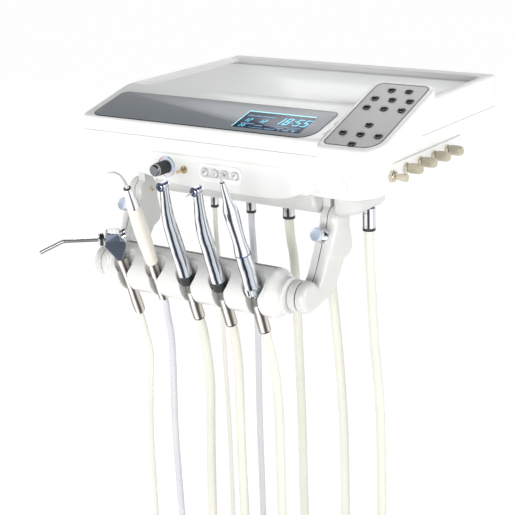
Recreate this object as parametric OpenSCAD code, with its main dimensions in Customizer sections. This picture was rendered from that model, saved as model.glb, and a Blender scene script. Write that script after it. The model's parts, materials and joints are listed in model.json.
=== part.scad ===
// Dental delivery unit: a control head with a tray top, a keypad pod and a tilting
// bar that holds five instruments. Millimetres, +Z up, +Y to the back. The origin is
// the centre of the support arm's socket, on the lower face of its boss.

/* [Body] */
// Width of the body
body_w = 376; // [366:2:386]
// Depth of the body from front to back
body_d = 328; // [316:2:340]
// Distance from the support arm's axis to the front face
front_reach = 160; // [156:1:164]
// Height of the base pan
pan_h = 18.5; // [16:0.5:21]
// Height of the front face above the part line
lip_h = 16.5; // [15:0.5:18]
// Height of the tray's rim above the part line
cover_h = 38.5; // [36:0.5:42]
// Tilt of the front panel
slope_deg = 14.6; // [12:0.2:17]
// Wall of the body's shells
wall = 3; // [2.5:0.25:4]
// Radius of the body's right front corner
corner_r = 45; // [35:1:50]
// Radius of the body's left front corner
left_corner_r = 8; // [6:1:14]
// Depth of the tray recess
tray_depth = 7; // [5:0.5:9]
// Width of the tray's rim at the sides and the front
rim_w = 8; // [7:0.5:10]
// Width of the rim at the back
rear_rim_w = 31; // [24:1:34]

/* [Front panel] */
// Left edge of the panel, from the body's centre
panel_left = 175; // [165:1:178]
// Right edge of the panel, from the body's centre
panel_right = 127; // [118:1:129]
// Height of the panel along the slope
panel_h = 65; // [58:1:68]
// Distance of the panel from the front edge, along the slope
panel_inset = 2.2; // [1.5:0.1:4]
// Thickness of the panel
panel_t = 1.2; // [1:0.1:2]
// Width of the display window
display_w = 88; // [78:1:92]
// Height of the display window
display_h = 40; // [34:1:44]
// Distance of the display from the panel's right edge
display_inset = 19; // [14:1:24]

/* [Keypad pod] */
// Width of the pod
pod_w = 76; // [72:1:80]
// Centre of the pod across the body
pod_x = 175; // [172:1:177]
// Tilt of the key plate
pod_deg = 19.8; // [18:0.2:21]
// Length of the pod from nose to back
pod_d = 131; // [126:1:136]
// Distance that the nose stands in front of the body
nose_out = 7; // [5:0.5:10]
// Height of the pod's nose
nose_h = 21; // [19:0.5:24]
// Border between the pod's edge and the key plate
pod_border = 6; // [5:0.5:8]
// Thickness of the key plate
plate_t = 1.5; // [1.2:0.1:2]
// Diameter of a key
key_dia = 9.4; // [8.6:0.2:10]
// Distance between the key columns
key_pitch_x = 21; // [19:0.5:22]
// Travel of a key
key_travel = 0.8; // [0.5:0.1:1]

/* [Lower housing] */
// Height of the lower housing
housing_h = 29; // [27:0.5:32]
// Distance from the arm axis to the housing's back
housing_back = 70; // [62:1:80]
// Left side of the housing, from the body's centre
housing_left = 140; // [136:1:146]
// Height of the boss that takes the support arm
boss_h = 12; // [10:0.5:14]
// Diameter of the boss
boss_dia = 64; // [58:1:72]
// Diameter of the support arm's pin
socket_dia = 32; // [28:1:36]
// Depth of the socket
socket_depth = 34; // [30:1:35]
// Distance that the control bulge stands in front of the housing
chin_out = 6; // [4:0.5:8]
// Distance that the control bulge hangs below the housing
chin_drop = 7; // [5:0.5:9]

/* [Hose block] */
// Length of the hose block
block_w = 280; // [276:2:286]
// Centre of the hose block across the body
block_x = 28; // [26:1:30]
// Width of the hose block
block_d = 76; // [70:1:80]
// Height of the hose block
block_h = 21; // [19:0.5:24]
// Distance from the arm's axis to the middle of the block
block_y = 104; // [102:1:106]
// Distance from the arm's axis to the row of hose outlets
outlet_y = 95; // [93:1:98]
// Distance between two hose outlets
outlet_pitch = 52; // [50:0.5:53]
// Place of the first outlet
outlet_first = -48; // [-50:0.5:-46]
// Length of a hose ferrule
ferrule_h = 24.7; // [22:0.1:27]

/* [Handle arms] */
// Distance from the centre to an arm's part line
arm_seam = 133; // [131:0.5:134]
// Thickness of an inner half shell
arm_inner_t = 10; // [9:0.5:11]
// Thickness of an outer half shell
arm_outer_t = 12; // [11:0.5:13]
// Radius of the arm's boss round the bar's pivot
pivot_boss_r = 17.4; // [16:0.2:18]
// Diameter of the bar's pivot pins
pivot_dia = 16; // [14:0.5:18]
// Length that a pivot pin reaches into the bar
pivot_reach = 14; // [10:0.5:18]
// Diameter of a brake button's cap
brake_dia = 15.5; // [14:0.5:17]
// Travel of a brake button
brake_travel = 4; // [3:0.5:5]

/* [Holder bar] */
// Radius of the bar
bar_r = 27.5; // [26:0.5:29]
// Radius of the bar's necks
neck_r = 20; // [19:0.5:21]
// Distance between two instruments
slot_pitch = 44.3; // [43.5:0.1:45.5]
// Radius of a slot's cup at its mouth
cup_r = 17.5; // [16:0.5:18]
// Height of a slot's cup
cup_h = 24; // [20:1:28]
// Tilt of the instruments
tool_tilt = 20; // [18:0.5:22]

/* [Instruments] */
// Diameter of a turbine handpiece's handle
turbine_dia = 16; // [15:0.2:16.6]
// Length of a turbine handpiece's handle up to its bend
turbine_l = 85.7; // [80:0.5:92]
// Diameter of the turbine's head
head_dia = 10.5; // [9.5:0.1:12]
// Height of the turbine's head
head_h = 12.5; // [11.5:0.1:14]
// Diameter of the ring where an instrument rests on the bar
ring_dia = 17; // [16.8:0.1:17.6]
// Diameter of an instrument's tail sleeve
tail_dia = 13.5; // [12.6:0.1:13.8]
// Length of an instrument's tail
tail_l = 49; // [45:0.5:53]
// Diameter of the low speed motor
motor_dia = 18; // [17:0.2:18.2]
// Length of the low speed motor
motor_l = 54; // [50:0.5:58]
// Length of the straight cone on the motor
cone_l = 88; // [82:0.5:92]
// Diameter of a bur
bur_dia = 2.35; // [1.6:0.05:2.4]
// Diameter of the scaler's grip
grip_dia = 16.7; // [15.6:0.1:17.4]
// Length of the scaler's grip
grip_l = 73.7; // [70:0.5:78]
// Diameter of the syringe's handle
syringe_dia = 11.5; // [11:0.1:12]
// Length of the syringe's handle below the bar's seat
syringe_l = 60; // [56:0.5:64]
// Width of the syringe's head
syringe_head_w = 19; // [18:0.5:21]
// Diameter of the syringe's nozzle
nozzle_dia = 4; // [3.5:0.1:4.4]
// Length of the syringe's nozzle up to its bend
nozzle_l = 46; // [42:1:50]
// Length of the nozzle beyond its bend
nozzle_tip_l = 29; // [24:1:32]
// Turn of the syringe in its slot, to the left
syringe_turn = 50; // [46:1:54]

/* [Controls] */
// Diameter of the pressure knob
knob_dia = 15; // [14:0.5:16]
// Length of the pressure knob
knob_l = 24; // [22:0.5:26]
// Diameter of an adjuster's head
adjuster_dia = 9.3; // [8.6:0.1:9.6]
// Distance between two adjusters
adjuster_pitch = 13.6; // [13:0.1:14]
// Diameter of a needle valve's knob
valve_dia = 11.5; // [10.5:0.1:12.5]
// Length of a needle valve's knob
valve_l = 16; // [14:0.5:18]
// Distance between two needle valves
valve_pitch = 31.9; // [30:0.1:33]

/* [Fits] */
// Gap round a part that moves
gap = 0.3; // [0.25:0.05:0.4]
// Radial clearance of the bar's pivots
pivot_gap = 0.05; // [0.02:0.01:0.1]

/* [Hidden] */
$fn = 64;
eps = 0.01;

// Levels, from the boss's lower face upwards
housing_z = boss_h;
pan_z = housing_z + housing_h;
seam_z = pan_z + pan_h;
lip_z = seam_z + lip_h;
rim_z = seam_z + cover_h;
tray_z = rim_z - tray_depth;
block_z = housing_z - block_h;
// Solid ends and front wall of the hose block, round the room for its tubes
block_end = 48;
block_front = 8;
front_y = -front_reach;
back_y = body_d - front_reach;
side_x = body_w / 2;
slope_end_y = front_y + (rim_z - lip_z) / tan(slope_deg);
rear_round = 15;
edge_round = 5;
top_round = 3;

// Keypad pod
pod_plane_z = lip_z - 1;
pod_left = pod_x - pod_w / 2;
pod_right = pod_x + pod_w / 2;
nose_y = front_y - nose_out;
pod_back_y = nose_y + pod_d;
nose_z = pod_plane_z - nose_out * tan(pod_deg) - nose_h;
pod_back_top = pod_plane_z + (pod_back_y - front_y) * tan(pod_deg);
plate_l = (pod_d - pod_border * 1.9) / cos(pod_deg);
plate_s0 = (-nose_out + pod_border) / cos(pod_deg);
key_r = key_dia / 2;
key_rise = key_travel + 0.5;
// Centre of the keys, a little right of the pod's centre
key_mid_x = pod_x + 1.5;
// Rows of keys from the nose upwards: [distance along the plate, number of keys]
key_pitch_y = plate_l * 0.1487;
key_first_s = plate_s0 + 4.86;
key_rows = [
    for (r = [[0, 1], [1, 3], [2, 1], [3.75, 3], [4.75, 3], [5.75, 2]])
        [key_first_s + r[0] * key_pitch_y, r[1]]
];
key_places = [
    for (row = key_rows, k = [0 : row[1] - 1])
        [key_mid_x + (k - (row[1] - 1) / 2) * key_pitch_x, row[0]]
];

// Lower housing, chin and valves
chin_y = front_y + 4;
housing_front = chin_y + chin_out;
chin_top = pan_z - 2;
chin_bottom = housing_z - chin_drop;
chin_left = 6 - housing_left;
chin_right = side_x - 25;
control_z = housing_z + 14;
knob_x = -67.5;
toggle_x = -42.5;
adjuster_mid_x = 7.2;
adjuster_z = control_z - 0.5;
valve_z = housing_z + 20.4;
valve_first_y = -63.5;
side_toggle_y = -95;
front_wall = 13;
stem_r = 3;
nut_t = 4;
block_inner_x = 150;

// Handle arms and bar
pivot_y = -188.5;
pivot_z = -86;
arm_in = arm_seam - arm_inner_t;
arm_out = arm_seam + arm_outer_t;
bar_half = arm_in - gap;
bar_y = pivot_y - 4.5;
bar_z = pivot_z + 0.6;
shoulder_l = 12;
bar_body_half = bar_half - shoulder_l - 5;
notch_gap = 0.4;
// Gap between the two half shells of an arm
part_line = 0.2;
// Radius of the hose nipple above a ferrule
outlet_r = 3.2;
// Gap between a hose's end and the metal that it is pushed on
hose_gap = 0.05;
// Round top of an arm and its neck up to the housing
arm_top = [-121.5, -17.5];
arm_top_r = 16.8;
arm_neck_w = 16;
// Front and rear of an arm, from below its top down to the boss: [y, z]
arm_outline = [
    [-108, -17.5], [-105.5, -27], [-103, -38],
    [-101, -47], [-104, -56], [-113, -62], [-121, -69], [-128, -79], [-135, -88],
    [-143, -95], [-152, -98.5], [-164, -100], [-173, -103], [-188.5, -103.4],
    [-188.5, -68.6], [-171, -73], [-160, -61], [-150, -41], [-142, -24], [-138, -16]
];
brake_base = [-143.2, -31.8];
brake_tilt = 22;
brake_l = 17;

// Instrument seats on the bar: place across the bar and radius of the channel
seat_y = -213;
seat_z = -84;
slot_r = [6.8, 5.9, 7.5, 7.5, 7.5];
step_w = 1.8;
grip_z = 18.3;
scaler_tail_l = 31.3;
tip_z = grip_z + grip_l + 18;
nozzle_drop = 5;
// Front and lower level of the syringe's head, from its seat
head_front = syringe_head_w * 1.37;
head_z = syringe_head_w * 1.84;
function slot_x(i) = (i - 2) * slot_pitch;
function outlet_x(i) = outlet_first + i * outlet_pitch;

// Point on an instrument's axis, a distance t above its seat, as [y, z]
function tool_point(t) = [seat_y - t * sin(tool_tilt), seat_z + t * cos(tool_tilt)];
function hose_start(i, t) = [slot_x(i), tool_point(t)[0], tool_point(t)[1]];
function hose_end(i) = [outlet_x(i), -outlet_y, block_z - ferrule_h];

// Hoses: radius and points between the instrument's tail and the ferrule
syringe_hose_r = 2.75;
scaler_hose_r = 3.75;
hose_r = 5.25;
syringe_route = [
    [-88.6, -185, -165], [-88.6, -178, -195], [-88.6, -181, -228], [-88, -187, -284],
    [-87, -189, -340], [-86, -190, -400], [-85, -190, -460], [-85, -190, -520],
    [-85, -190, -580], [-85, -190, -640], [-83, -187, -665], [-77, -174, -688],
    [-67, -151, -700], [-59, -134, -700], [-50, -113, -688], [-44, -99, -665],
    [-41, -95, -640], [-41, -95, -580], [-41, -95, -520], [-41, -95, -460],
    [-41, -95, -400], [-41, -95, -309], [-43, -95, -230], [-44, -95, -157],
    [-46, -95, -100], [-48, -95, -60]
];
scaler_route = [
    [-44.3, -198, -134], [-44.3, -193, -163], [-44.3, -193, -200], [-44, -196, -270],
    [-43, -196, -330], [-42, -195, -390], [-41, -194, -450], [-40, -193, -510],
    [-40, -193, -570], [-40, -193, -640], [-38, -190, -668], [-31, -176, -694],
    [-22, -157, -706], [-13, -136, -706], [-3, -115, -694], [3, -101, -668],
    [5, -97, -640], [5, -96, -570], [5, -95, -510], [5, -95, -450], [5, -95, -390],
    [5, -95, -298], [6, -95, -240], [7, -95, -186], [7, -95, -120], [5, -95, -70],
    [4, -95, -50]
];
turbine_1_route = [
    [0, -190, -150], [0, -185, -178], [0, -182, -216], [0, -185, -265], [0, -188, -320],
    [0, -190, -380], [0, -190, -440], [0, -190, -500], [0, -190, -560], [0, -190, -630],
    [2, -187, -660], [9, -176, -690], [21, -157, -707], [33, -138, -711],
    [47, -119, -701], [58, -103, -679], [64, -96, -650], [66, -95, -610],
    [66, -95, -550], [66, -95, -490], [66, -95, -430], [66, -95, -370], [66, -95, -282],
    [65, -95, -214], [62, -95, -94], [58, -95, -60]
];
turbine_2_route = [
    [44.3, -191, -148], [44.3, -187, -181], [44.3, -187, -215], [45, -188.5, -245],
    [46, -190, -310], [47, -190, -380], [48, -190, -450], [49, -190, -520],
    [50, -190, -580], [51, -190, -630], [53, -188, -660], [60, -178, -690],
    [73, -160, -708], [87, -140, -713], [102, -120, -704], [115, -103, -682],
    [121, -96, -650], [123, -95, -610], [124, -95, -550], [124, -95, -480],
    [124, -95, -410], [124, -95, -340], [123.5, -95, -272], [119, -95, -190],
    [112, -95, -112], [109, -95, -65]
];
low_speed_route = [
    [88.6, -188, -155], [88.6, -180, -185], [88.6, -176, -215], [89, -175, -248],
    [90, -177, -300], [92, -180, -360], [94, -184, -430], [96, -187, -500],
    [98, -189, -560], [99, -190, -630], [101, -188, -660], [108, -178, -690],
    [121, -160, -708], [135, -140, -713], [150, -120, -704], [163, -103, -682],
    [169, -96, -650], [172, -95, -610], [173, -95, -540], [173, -95, -470],
    [173, -95, -400], [173, -95, -330], [172, -95, -247], [168, -95, -190],
    [165, -95, -157], [161, -95, -75]
];

// Colours
white_c = [0.93, 0.94, 0.93];
steel_c = [0.75, 0.77, 0.8];
dark_c = [0.1, 0.1, 0.11];

// A rectangle with its own radius on each corner: front left, front right, back right, back left
module rounded_rect(x0, y0, x1, y1, r) {
    difference() {
        translate([x0, y0]) square([x1 - x0, y1 - y0]);
        corner_cut(x0, y0, 1, 1, r[0]);
        corner_cut(x1, y0, -1, 1, r[1]);
        corner_cut(x1, y1, -1, -1, r[2]);
        corner_cut(x0, y1, 1, -1, r[3]);
    }
}
module corner_cut(x, y, sx, sy, r) {
    if (r > 0)
        translate([x, y]) scale_sign(sx, sy) difference() {
            translate([-1, -1]) square(r + 1);
            translate([r, r]) circle(r);
        }
}
module scale_sign(sx, sy) {
    mirror([sx < 0 ? 1 : 0, 0]) mirror([0, sy < 0 ? 1 : 0]) children();
}

// Extrudes a (y, z) outline along x
module across(x0, x1) {
    translate([x0, 0, 0]) rotate([90, 0, 90]) linear_extrude(x1 - x0) children();
}
// Extrudes an (x, z) outline along y, from y0 back to y1
module along(y0, y1) {
    translate([0, y1, 0]) rotate([90, 0, 0]) linear_extrude(y1 - y0) children();
}
// The front panel's plane: x across, y up the slope, z outwards
module on_slope() {
    translate([0, front_y, lip_z]) rotate([slope_deg, 0, 0]) children();
}
// The key plate's plane
module on_pod() {
    translate([0, front_y, pod_plane_z]) rotate([pod_deg, 0, 0]) children();
}
// An instrument's own axis, with z = 0 at its seat
module at_slot(i) {
    translate([slot_x(i), seat_y, seat_z]) rotate([tool_tilt, 0, 0]) children();
}

// The body's outer form, moved inwards by i
module body_form(i = 0) {
    intersection() {
        across(-side_x - 1, side_x + 1) body_profile(i);
        translate([0, 0, pan_z]) linear_extrude(rim_z - pan_z + 1)
            rounded_rect(-side_x + i, front_y + i, side_x - i, back_y - i,
                [left_corner_r - i, corner_r - i, 14 - i, 14 - i]);
        along(front_y - 1, back_y + 1)
            rounded_rect(-side_x + i, pan_z - (i > 0 ? 1 : 0), side_x - i, rim_z - i,
                [i > 0 ? 0 : edge_round, i > 0 ? 0 : edge_round, top_round, top_round]);
    }
}
module body_profile(i) {
    difference() {
        translate([front_y + i, pan_z - (i > 0 ? 1 : 0)])
            square([body_d - 2 * i, rim_z - pan_z - i + (i > 0 ? 1 : 0)]);
        translate([front_y, lip_z - i / cos(slope_deg)]) rotate(slope_deg)
            translate([-10, 0]) square([body_d / 2, pan_h + cover_h]);
        if (i == 0) corner_cut(front_y, pan_z, 1, 1, edge_round);
        if (i == 0) corner_cut(back_y, pan_z, -1, 1, edge_round);
        corner_cut(back_y - i, rim_z - i, -1, -1, rear_round);
    }
}

// The pod's outer form, moved inwards by i
module pod_form(i = 0) {
    intersection() {
        translate([0, 0, nose_z + i]) linear_extrude(pod_back_top - nose_z)
            rounded_rect(pod_left + i, nose_y + i, pod_right - i, pod_back_y - i,
                [8 - i, 22 - i, 12 - i, 8 - i]);
        across(pod_left, pod_right) pod_profile(i);
    }
}
module pod_profile(i, open_top = false) {
    difference() {
        translate([nose_y, nose_z]) square([pod_d, pod_back_top - nose_z]);
        if (!open_top) translate([front_y, pod_plane_z - i / cos(pod_deg)]) rotate(pod_deg)
            translate([-20, 0]) square([1.5 * pod_d, pod_w]);
        translate([nose_y + 27, nose_z + i]) rotate(15) translate([0, -pod_w]) square([1.1 * pod_d, pod_w]);
    }
}
// The space that the cover leaves for the pod, open above
module pod_space() {
    intersection() {
        translate([0, 0, nose_z]) linear_extrude(pod_back_top - nose_z)
            rounded_rect(pod_left, nose_y, pod_right, pod_back_y, [8, 22, 12, 8]);
        across(pod_left, pod_right) pod_profile(0, true);
    }
}

module top_cover() {
    color(white_c) difference() {
        body_form();
        difference() {
            body_form(wall);
            tray_void(wall);
        }
        translate([-side_x - 1, front_y - 1, pan_z - 1])
            cube([body_w + 2, body_d + 2, seam_z - pan_z + 1]);
        tray_void(0);
        pod_space();
        on_slope() translate([0, 0, -panel_t]) linear_extrude(panel_t + 1) panel_shape(-gap);
        on_slope() translate([0, 0, -wall - 2]) linear_extrude(wall + 3) display_shape(-1);
    }
}
// The tray's hollow, or the hollow and what closes it below and around when t > 0
module tray_void(t) {
    translate([0, 0, tray_z - t]) linear_extrude(rim_z)
        rounded_rect(-side_x + rim_w - t, slope_end_y + rim_w - t,
            side_x - rim_w + t, back_y - rear_rim_w + t, [6, 6, 10, 10]);
}
module base_pan() {
    color(white_c) difference() {
        body_form();
        translate([0, 0, wall]) intersection() {
            body_form(wall);
            translate([-side_x, front_y, pan_z]) cube([body_w, body_d, pan_h + 5]);
        }
        translate([-side_x - 1, front_y - 1, seam_z]) cube([body_w + 2, body_d + 2, cover_h + 1]);
        pod_form();
    }
}

module panel_shape(grow_in) {
    rounded_rect(-panel_left + grow_in, panel_inset + grow_in, panel_right - grow_in,
        panel_inset + panel_h - grow_in, [12, 20, 9, 9]);
}
module display_shape(grow_in) {
    x1 = panel_right - display_inset;
    y0 = panel_inset + 8;
    rounded_rect(x1 - display_w + grow_in, y0 + grow_in, x1 - grow_in,
        y0 + display_h - grow_in, [2, 2, 2, 2]);
}
module front_panel() {
    color([0.48, 0.5, 0.53]) on_slope() translate([0, 0, -panel_t])
        linear_extrude(panel_t + 0.3) difference() {
            panel_shape(0);
            display_shape(0);
        }
}
module display_window() {
    color([0.25, 0.6, 0.85]) on_slope() union() {
        translate([0, 0, -wall]) linear_extrude(wall) display_shape(0.15);
        translate([0, 0, -wall - 1.5]) linear_extrude(1.5) display_shape(-0.9);
    }
}

module pod_shell() {
    color(white_c) difference() {
        pod_form();
        difference() {
            pod_form(2.5);
            on_pod() translate([pod_left, plate_s0 - 20, -plate_t - 2.5])
                cube([pod_w, plate_l + 60, 20]);
        }
        on_pod() translate([0, 0, -plate_t]) linear_extrude(20) plate_shape(-0.2);
        for (p = key_places)
            on_pod() translate([p[0], p[1], -10]) cylinder(h = 10, r = key_r + 0.6);
    }
}
module plate_shape(grow_in) {
    rounded_rect(pod_left + pod_border + grow_in, plate_s0 + grow_in,
        pod_right - pod_border - grow_in, plate_s0 + plate_l - grow_in, [8, 18, 8, 8]);
}
module keypad_plate() {
    color([0.5, 0.51, 0.52]) on_pod() difference() {
        translate([0, 0, -plate_t]) linear_extrude(plate_t) plate_shape(0);
        for (p = key_places)
            translate([p[0], p[1], -5]) cylinder(h = 10, r = key_r + gap);
    }
}
module key_cap(k) {
    p = key_places[k];
    color([0.6, 0.62, 0.64]) on_pod() translate([p[0], p[1], 0]) union() {
        translate([0, 0, -plate_t - 1.2]) cylinder(h = plate_t + 1.2 + key_rise, r = key_r);
        translate([0, 0, key_rise]) intersection() {
            translate([0, 0, -key_r * 1.1]) sphere(key_r * 1.487);
            cylinder(h = 5, r = key_r);
        }
    }
}

module lower_housing() {
    color(white_c) difference() {
        union() {
            housing_form(0, housing_z, pan_z);
            chin_form();
            cylinder(h = boss_h + eps, d = boss_dia);
        }
        difference() {
            union() {
                housing_hollow();
                chin_hollow();
            }
            cylinder(h = pan_z - 2, r = socket_dia / 2 + 8);
        }
        translate([0, 0, -eps]) cylinder(h = socket_depth + eps, d = socket_dia);
        scoop();
        for (i = [0 : 3]) valve_bore(valve_first_y + i * valve_pitch, valve_z);
        valve_bore(side_toggle_y, valve_z - 2.4);
        translate([knob_x, chin_y - 1, control_z]) rotate([-90, 0, 0])
            cylinder(h = 20, r = stem_r + gap);
        translate([toggle_x, chin_y - 1, control_z - 1]) rotate([-90, 0, 0])
            cylinder(h = 20, r = 2.2);
        for (i = [0 : 3]) translate([adjuster_x(i), chin_y - 1, adjuster_z]) rotate([-90, 0, 0])
            cylinder(h = 20, r = stem_r + gap);
    }
}
module valve_bore(y, z) {
    translate([side_x - 12, y, z]) rotate([0, 90, 0]) cylinder(h = 14, r = stem_r + gap);
}
module housing_form(i, z0, z1) {
    translate([0, 0, z0]) linear_extrude(z1 - z0)
        rounded_rect(-housing_left + i, housing_front + i, side_x - i, housing_back - i,
            [25 - i, 38 - i, 20 - i, 20 - i]);
}
module housing_hollow() {
    translate([0, 0, housing_z + wall]) linear_extrude(housing_h)
        rounded_rect(-housing_left + wall, housing_front + front_wall, side_x - wall,
            housing_back - wall, [12, 26, 17, 17]);
}
module chin_form() {
    difference() {
        chin_bulge();
        translate([-housing_left, -block_y - block_d / 2, chin_bottom - 1])
            cube([2 * housing_left, 30, housing_z - chin_bottom + 1]);
    }
}
module chin_bulge() {
    along(chin_y, housing_front + 12) difference() {
        rounded_rect(chin_left, chin_bottom, chin_right, chin_top, [0, 0, 3, 3]);
        translate([chin_left, housing_z + 24]) rotate(-30) translate([-60, -60])
            square([130, 60]);
        translate([chin_right - 28, housing_z - 22]) circle(36);
        translate([chin_right - 28, chin_bottom - 5]) square([40, 22]);
    }
}
module chin_hollow() {
    along(chin_y + wall, housing_front + front_wall + 1)
        rounded_rect(-56, housing_z + wall, 88, chin_top - wall, [2, 2, 2, 2]);
}
module scoop() {
    translate([chin_right - 29, housing_front - 17, housing_z - 1]) cylinder(h = 14, r = 22);
}
module adjuster_plate() {
    color([0.96, 0.96, 0.96]) along(chin_y - 1, chin_y) difference() {
        rounded_rect(adjuster_mid_x - 28.5, adjuster_z - 10, adjuster_mid_x + 28.5,
            adjuster_z + 9.5, [6, 6, 6, 6]);
        for (i = [0 : 3]) translate([adjuster_x(i), adjuster_z]) circle(adjuster_dia / 2 + gap);
    }
}
function adjuster_x(i) = adjuster_mid_x + (i - 1.5) * adjuster_pitch;

module hose_block() {
    color(white_c) difference() {
        intersection() {
            translate([0, 0, block_z]) linear_extrude(block_h)
                rounded_rect(block_x - block_w / 2, -block_y - block_d / 2, block_x + block_w / 2,
                    -block_y + block_d / 2, [30, 30, 30, 30]);
            across(block_x - block_w / 2, block_x + block_w / 2)
                rounded_rect(-block_y - block_d / 2, block_z, -block_y + block_d / 2,
                    housing_z, [8, 8, 0, 0]);
        }
        translate([arm_in - notch_gap, -block_y - block_d, block_z - 1])
            cube([arm_out - arm_in + 2 * notch_gap, block_d + 2.4, block_h + 2]);
        translate([-block_w / 2 + block_end, -block_y - block_d / 2 + block_front, block_z + 4])
            cube([block_w - 2 * block_end, block_d - 3 * block_front, block_h]);
        for (i = [0 : 4]) translate([outlet_x(i), -outlet_y, block_z - 1])
            cylinder(h = block_h + 3, r = outlet_r + part_line / 2);
        translate([0, 0, -eps]) cylinder(h = boss_h + 1, d = boss_dia + 2 * gap);
    }
}

// One handle arm on the right side: two half shells with the pivot pin
module arm_shells() {
    color(white_c) {
        difference() {
            union() {
                arm_slab(arm_in, arm_seam - part_line, 0);
                across(arm_in, arm_seam - part_line)
                    translate([arm_top[0] - arm_neck_w / 2, arm_top[1]])
                        square([arm_neck_w, housing_z - arm_top[1]]);
                translate([arm_in - pivot_reach, pivot_y, pivot_z]) rotate([0, 90, 0])
                    cylinder(h = pivot_reach + 2, d = pivot_dia);
            }
            brake_bore();
        }
        difference() {
            union() {
                arm_slab(arm_seam, arm_out - 5, 0);
                arm_slab(arm_out - 5, arm_out - 2, 1.6);
                arm_slab(arm_out - 2, arm_out, 4);
            }
            brake_bore();
        }
    }
}
module arm_slab(x0, x1, grow_in) {
    across(x0, x1) offset(delta = -grow_in) union() {
        polygon(arm_outline);
        translate(arm_top) circle(arm_top_r);
        translate([pivot_y, pivot_z]) circle(pivot_boss_r);
    }
}
module at_brake() {
    translate([arm_seam, brake_base[0], brake_base[1]]) rotate([90 - brake_tilt, 0, 0]) children();
}
module brake_bore() {
    at_brake() translate([0, 0, -12]) cylinder(h = 30, r = 5 + gap);
}
module brake_button() {
    color([0.7, 0.76, 0.82]) at_brake() union() {
        translate([0, 0, -12 + brake_travel + gap]) cylinder(h = brake_l + 8, r = 5);
        translate([0, 0, brake_l - 4]) cylinder(h = 4, d = brake_dia);
        translate([0, 0, brake_l]) cylinder(h = 2, d1 = brake_dia, d2 = brake_dia - 4);
    }
}

module holder_bar() {
    color(white_c) difference() {
        union() {
            bar_half_form();
            mirror([1, 0, 0]) bar_half_form();
        }
        for (s = [-1, 1]) translate([s * bar_half, pivot_y, pivot_z])
            rotate([0, -s * 90, 0]) translate([0, 0, -1])
                cylinder(h = pivot_reach + 1.5, r = pivot_dia / 2 + pivot_gap);
        for (i = [0 : 4]) at_slot(i) slot_cut(slot_r[i]);
    }
}
// Right half of the bar: a turned form whose end draws in to the neck
module bar_half_form() {
    steps = 8;
    shoulder = [
        for (k = [0 : steps])
            [neck_r + (bar_r - neck_r) * (1 + cos(180 * k / steps)) / 2,
                bar_body_half + shoulder_l * k / steps]
    ];
    translate([0, bar_y, bar_z]) rotate([0, 90, 0]) rotate_extrude()
        polygon(concat([[0, 0], [bar_r, 0]], shoulder, [[neck_r, bar_half], [0, bar_half]]));
}
// The channel and cup that an instrument hangs in
module slot_cut(r) {
    translate([0, 0, -70]) cylinder(h = 140, r = r);
    translate([-r, -60, -70]) cube([2 * r, 60, 140]);
    translate([0, 0, -gap]) cylinder(h = cup_h, r1 = r + step_w, r2 = cup_r);
    translate([0, 0, cup_h - gap - eps]) cylinder(h = 40, r = cup_r);
    translate([0, -10, 4]) cylinder(h = cup_h, r1 = r, r2 = cup_r);
    translate([0, -10, cup_h]) cylinder(h = 40, r = cup_r);
}

module syringe_handle() {
    color(steel_c) at_slot(0) difference() {
        union() {
            rotate_extrude() polygon([
                [0, -syringe_l], [5, -syringe_l], [6.2, -syringe_l + 3], [6.5, -syringe_l + 9],
                [syringe_dia / 2, -30], [syringe_dia / 2, -8], [6.4, -2], [6.4, 0], [7.2, 0],
                [7.2, 20], [0, 20]
            ]);
            syringe_head();
        }
        for (s = [-1, 1]) at_button(s) translate([0, 0, -6]) cylinder(h = 12, r = 3.3 + gap);
        at_nozzle() translate([0, 0, -10]) cylinder(h = 20, r = 3.3);
    }
}
module syringe_head() {
    w = syringe_head_w;
    hull() {
        translate([0, 0, 19]) cylinder(h = 1, r = 7.2, $fn = 32);
        upright() translate([-w / 2, -head_front, head_z]) cube([w, 14, 12.5]);
        upright() translate([-w / 2 + 1.5, 2 - head_front, head_z + 12.5]) cube([w - 3, 13, 4.5]);
        upright() translate([-w / 2, 14 - head_front, head_z - 1]) cube([w, 9.5, 8]);
    }
}
// Axes of the syringe's head: upright, about its seat, and turned with the syringe
module upright() {
    rotate([0, 0, -syringe_turn]) rotate([-tool_tilt, 0, 0]) children();
}
module at_button(s) {
    upright() translate([s * 4.4, 19 - head_front, head_z + 11.2]) rotate([-48, 0, 0])
        children();
}
module syringe_button(s) {
    color(steel_c) at_slot(0) at_button(s) union() {
        translate([0, 0, -3.4]) cylinder(h = 8, r = 3.3);
        translate([0, 0, 4.6]) cylinder(h = 1.2, r1 = 3.3, r2 = 2.4);
    }
}
module at_nozzle() {
    upright() translate([0, -head_front, head_z + 4.3]) rotate([90 + nozzle_drop, 0, 0])
        children();
}
module syringe_nozzle() {
    color(steel_c) at_slot(0) at_nozzle() {
        difference() {
            union() {
                translate([0, 0, -6]) cylinder(h = 7, r = 3);
                translate([0, 0, 7 * tan(nozzle_drop) + gap]) cylinder(h = 7, r = 7);
                cylinder(h = nozzle_l, d = nozzle_dia);
                translate([0, 0, nozzle_l]) sphere(d = nozzle_dia + 0.1);
                translate([0, 0, nozzle_l]) rotate([28, 0, 0]) cylinder(h = nozzle_tip_l, d = nozzle_dia);
            }
            translate([0, 0, nozzle_l]) rotate([28, 0, 0]) translate([0, 0, 8])
                cylinder(h = nozzle_tip_l, d = 1);
        }
    }
}

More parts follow.
